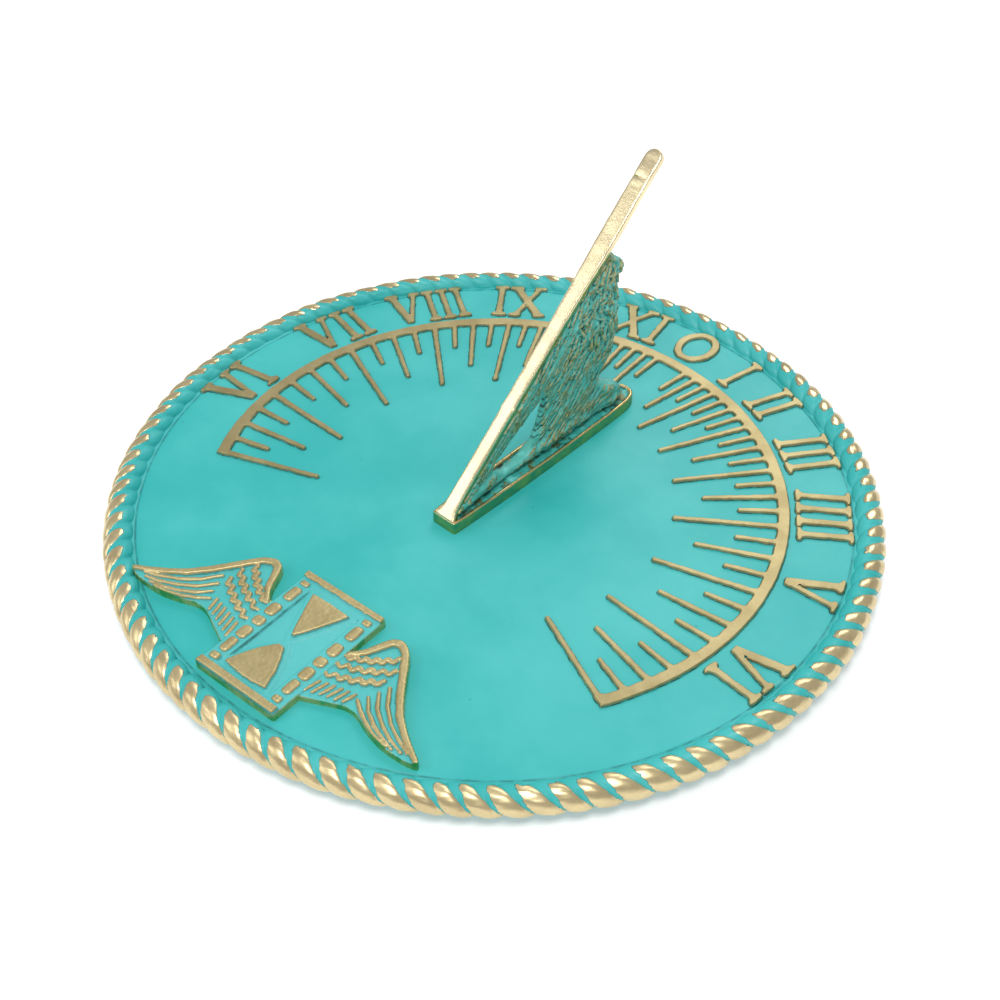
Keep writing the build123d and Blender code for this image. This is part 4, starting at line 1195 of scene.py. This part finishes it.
top_of = emblem_grid(height_e)
edge_of = emblem_grid(outline_e * mm)
u, v, dist, front, back, faces = plate_between(
    edge_of, (eu[0] * mm, ev[0] * mm), (eu[-1] * mm, ev[-1] * mm), step_e * mm,
    lambda u, v, d: top_of(u, v) * mm, lambda u, v, d: np.full_like(u, -0.25 * mm))
lu, lv = u * emblem_scale, v * emblem_scale
X = emblem_at[0] + lu * math.cos(emblem_turn) - lv * math.sin(emblem_turn)
Y = emblem_at[1] + lu * math.sin(emblem_turn) + lv * math.cos(emblem_turn)
points = np.concatenate([np.stack([X, Y, face_z + front], -1), np.stack([X, Y, face_z + back], -1)])
gold_at = emblem_grid(gold_e)(u, v)
slope_u = np.gradient(height_e, step_e, axis=0)
slope_v = np.gradient(height_e, step_e, axis=1)
steep = emblem_grid(np.clip(np.hypot(slope_u, slope_v) / 1.6, 0, 1))(u, v)
foot_of_step = np.clip(steep * (1 - gold_at) * 1.1, 0, 1)
on_side = (np.abs(dist) < 1e-7).astype(float)
emblem_finish = paint_over_brass("hourglass brass and paint", (0.60, 0.50, 0.25), 0.60, 460.0, paint=(0.075, 0.53, 0.53),
                                 outline=0.95, wall=((0.10, 0.42, 0.12), (0.66, 0.56, 0.22)))
emblem = add_piece("winged_hourglass_casting", points, faces, {
    "bare": np.concatenate([gold_at, np.zeros(len(u))]),
    "hollow": np.concatenate([0.75 * foot_of_step, np.zeros(len(u))]),
    "wall": np.concatenate([on_side * 0.9, np.ones(len(u))])}, flat_sides=True)
fitted(emblem, "winged_hourglass", emblem_finish)

# ------------------------------------------------------------------------------------------
# The underside: a hollow behind the face with a foot ring to stand on, three bosses tapped
# for a pedestal's screws, and a flat pad round each fixing screw.  Cast and left rough.
# ------------------------------------------------------------------------------------------
web_z, boss_z, hole_top = 4.8 * mm, 1.2 * mm, 5.8 * mm
boss_circle, boss_radius, tapped_radius = 75 * mm, 7.5 * mm, 2.5 * mm
underside_finish, n, shader, place = surface("rough cast underside")
cast_grain = n.noise(place, 700.0, 5.0, 0.7)
cast_patch = n.noise(place, 60.0, 4.0, 0.6)
by_the_rim = n.math("MULTIPLY", n.new("ShaderNodeAttribute", attribute_name="rim").outputs["Fac"], 0.35)
overspray = n.ramp(n.math("ADD", n.noise(place, 38.0, 4.0, 0.65), by_the_rim), 0.52, 0.70)
raw = n.mix(n.ramp(cast_patch, 0.35, 0.68), (0.36, 0.26, 0.10), (0.20, 0.15, 0.07))
raw = n.mix(n.math("MULTIPLY", n.ramp(cast_grain, 0.5, 0.72), 0.45), raw, (0.10, 0.09, 0.05))
n.link(n.mix(overspray, raw, (0.05, 0.44, 0.41)), shader.inputs["Base Color"])
n.link(n.math("SUBTRACT", 0.8, n.math("MULTIPLY", overspray, 0.75)), shader.inputs["Metallic"])
n.link(n.math("ADD", n.math("MULTIPLY", cast_grain, 0.25), 0.42), shader.inputs["Roughness"])
bumped(n, shader, n.math("ADD", cast_grain, n.math("MULTIPLY", cast_patch, 0.5)), 0.0004, 0.8)

hole_bearings = [math.radians(90 + 120 * k) for k in range(3)]
holes = [(boss_circle * math.cos(a), boss_circle * math.sin(a), tapped_radius) for a in hole_bearings]
flat, edges = [], []
for cx, cy, radius, count in [(0, 0, 107.6 * mm, 180)] + [(a, b, r, 40) for a, b, r in holes]:
    base = len(flat)
    flat += [Vector((cx + radius * math.sin(2 * math.pi * i / count), cy + radius * math.cos(2 * math.pi * i / count)))
             for i in range(count)]
    edges += [(base + i, base + (i + 1) % count) for i in range(count)]
gx, gy = np.meshgrid(np.arange(-0.107, 0.107, 0.0032), np.arange(-0.107, 0.107, 0.0028), indexing="ij")
for a, b in zip(gx.ravel() + 0.0008, gy.ravel()):
    clear = all(math.hypot(a - cx, b - cy) > r + 0.8 * mm for cx, cy, r in holes)
    if math.hypot(a, b) < 0.1062 and clear:
        flat.append(Vector((a, b)))
verts, _, tris, origin, _, _ = delaunay_2d_cdt(flat, edges, [], 0, 1e-9)
points = [(p.x, p.y, web_z + 0.12 * mm * float(waviness(p.x, p.y, 45, 97)) * min(1, max(0, (0.105 - p.length) / 0.01)))
          for p in verts]
faces = []
for t in tris:
    c = sum((verts[i] for i in t), Vector((0, 0))) / 3
    if c.length < 0.1076 and all(math.hypot(c.x - cx, c.y - cy) > r for cx, cy, r in holes):
        faces.append(tuple(t)[::-1])
rim_mark = [0.0] * len(points)


def turned(profile, cx, cy, count, mark=0.0):
    """Adds a turned shape round a vertical axis to the underside."""
    first = len(points)
    for r, z in profile:
        for i in range(count):
            t = 2 * math.pi * i / count
            points.append((cx + r * math.sin(t), cy + r * math.cos(t), z))
            rim_mark.append(mark)
    for k in range(len(profile) - 1):
        for i in range(count):
            a, b = first + k * count + i, first + k * count + (i + 1) % count
            faces.append((a, b, b + count, a + count))


turned([(107.6 * mm, web_z), (108.3 * mm, 4.66 * mm), (108.9 * mm, 4.2 * mm), (109.3 * mm, 2.4 * mm), (110.4 * mm, 0.5 * mm),
        (111.0 * mm, 0.06 * mm), (111.6 * mm, 0.0), (119.9 * mm, 0.0), (120.5 * mm, 0.08 * mm), (121.0 * mm, 0.6 * mm),
        (121.7 * mm, 1.7 * mm), (122.4 * mm, 2.3 * mm), (123.4 * mm, 3.0 * mm), (123.6 * mm, 5.0 * mm)], 0, 0, 288, 1.0)
for cx, cy, r in holes:
    turned([(r, hole_top), (r, boss_z + 0.5 * mm), (r + 0.45 * mm, boss_z), (boss_radius - 0.6 * mm, boss_z),
            (boss_radius - 0.15 * mm, boss_z + 0.15 * mm), (boss_radius, boss_z + 0.6 * mm), (boss_radius + 0.1 * mm, 4.1 * mm),
            (boss_radius + 0.35 * mm, 4.55 * mm), (boss_radius + 0.9 * mm, web_z + 0.05 * mm)], cx, cy, 64)
    first = len(points)
    points.append((cx, cy, hole_top))
    rim_mark.append(0.0)
    faces += [(first, first - 9 * 64 + (i + 1) % 64, first - 9 * 64 + i) for i in range(64)]
for node, pad in (("gnomon_washer_south", 6.2), ("gnomon_washer_north", 6.2), ("hourglass_washer_west", 4.8),
                  ("hourglass_washer_east", 4.8)):
    lower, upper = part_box(node)
    cx, cy = (lower.x + upper.x) / 2, (lower.y + upper.y) / 2
    turned([(0.2 * mm, upper.z + 0.01 * mm), ((pad - 0.3) * mm, upper.z + 0.01 * mm), (pad * mm, upper.z + 0.2 * mm),
            ((pad + 0.4) * mm, web_z + 0.05 * mm)], cx, cy, 48)
dial_underside = add_piece("dial_underside", points, faces, {"rim": rim_mark})
bm = bmesh.new()
bm.from_mesh(dial_underside.data)
bmesh.ops.recalc_face_normals(bm, faces=bm.faces)
bm.to_mesh(dial_underside.data)
bm.free()
fitted(dial_underside, "dial_plate", underside_finish)

# ------------------------------------------------------------------------------------------
# The screws and washers: steel pan-head screws and brass washers, put in from below.
# ------------------------------------------------------------------------------------------
for kind, color, roughness in (("screw", (0.56, 0.55, 0.52), 0.32), ("washer", (0.60, 0.47, 0.22), 0.42)):
    finish, n, shader, place = surface("plated " + kind)
    grain = n.noise(place, 900.0, 4.0, 0.65)
    stain = n.noise(place, 260.0, 3.0, 0.6)
    n.link(n.mix(n.ramp(stain, 0.42, 0.66), color, tuple(c * 0.55 for c in color)), shader.inputs["Base Color"])
    n.link(n.math("ADD", n.math("MULTIPLY", grain, 0.22), roughness - 0.08), shader.inputs["Roughness"])
    shader.inputs["Metallic"].default_value = 1.0
    bumped(n, shader, grain, 0.00008, 0.5)
    for name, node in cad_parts.items():
        if kind in name:
            for k in range(max(1, len(node.material_slots))):
                if node.material_slots:
                    node.material_slots[k].material = finish
                else:
                    node.data.materials.append(finish)

# ------------------------------------------------------------------------------------------
# Plain pale floor, soft studio light from above and both sides, and the camera.
# ------------------------------------------------------------------------------------------
floor_material = bpy.data.materials.new("pale floor")
floor_material.use_nodes = True
shader = floor_material.node_tree.nodes["Principled BSDF"]
shader.inputs["Base Color"].default_value = (0.90, 0.90, 0.90, 1)
shader.inputs["Roughness"].default_value = 0.9
shader.inputs["Emission Color"].default_value = (1, 1, 1, 1)
shader.inputs["Emission Strength"].default_value = 0.28
reach = 6.0
floor_mesh = bpy.data.meshes.new("floor")
floor_mesh.from_pydata([(-reach, -reach, 0), (reach, -reach, 0), (reach, reach, 0), (-reach, reach, 0)], [], [(0, 1, 2, 3)])
floor = bpy.data.objects.new("floor", floor_mesh)
floor.data.materials.append(floor_material)
bpy.context.scene.collection.objects.link(floor)

world = bpy.data.worlds.new("studio")
world.use_nodes = True
world.node_tree.nodes["Background"].inputs["Color"].default_value = (1, 1, 1, 1)
world.node_tree.nodes["Background"].inputs["Strength"].default_value = 0.48
bpy.context.scene.world = world
bpy.context.scene.view_settings.view_transform = "Standard"

target = Vector((0, 0, face_z + relief))
toward = math.radians(42.798)
rise = math.radians(42.153)


def soft_light(name, azimuth, elevation, distance, size, power):
    """A square soft box that looks at the dial."""
    light = bpy.data.lights.new(name, "AREA")
    light.shape = "SQUARE"
    light.size = size
    light.energy = power
    lamp = bpy.data.objects.new(name, light)
    a, e = math.radians(azimuth), math.radians(elevation)
    lamp.location = target + distance * Vector((math.sin(a) * math.cos(e), -math.cos(a) * math.cos(e), math.sin(e)))
    lamp.rotation_euler = (target - lamp.location).to_track_quat("-Z", "Y").to_euler()
    bpy.context.scene.collection.objects.link(lamp)


soft_light("light_above", 38, 70, 1.2, 0.42, 6.5)
soft_light("light_left", -39, 37, 1.2, 0.62, 2.1)
soft_light("light_back", 202, 41, 1.3, 0.55, 3.5)

away = Vector((math.sin(toward) * math.cos(rise), -math.cos(toward) * math.cos(rise), math.sin(rise)))
ahead = -away
right = Vector((math.cos(toward), math.sin(toward), 0))
up = right.cross(ahead)
yaw, pitch = math.radians(0.206), math.radians(-0.481)
ahead_turned = ahead * math.cos(yaw) + right * math.sin(yaw)
right_turned = right * math.cos(yaw) - ahead * math.sin(yaw)
look = ahead_turned * math.cos(pitch) + up * math.sin(pitch)
up_turned = up * math.cos(pitch) - ahead_turned * math.sin(pitch)
lens = bpy.data.cameras.new("camera")
lens.lens, lens.sensor_width = 51.12, 36.0
lens.clip_start, lens.clip_end = 0.02, 50.0
camera = bpy.data.objects.new("camera", lens)
camera.location = target + away * 0.4686
camera.rotation_euler = Matrix((right_turned, up_turned, -look)).transposed().to_euler()
bpy.context.scene.collection.objects.link(camera)
bpy.context.scene.camera = camera
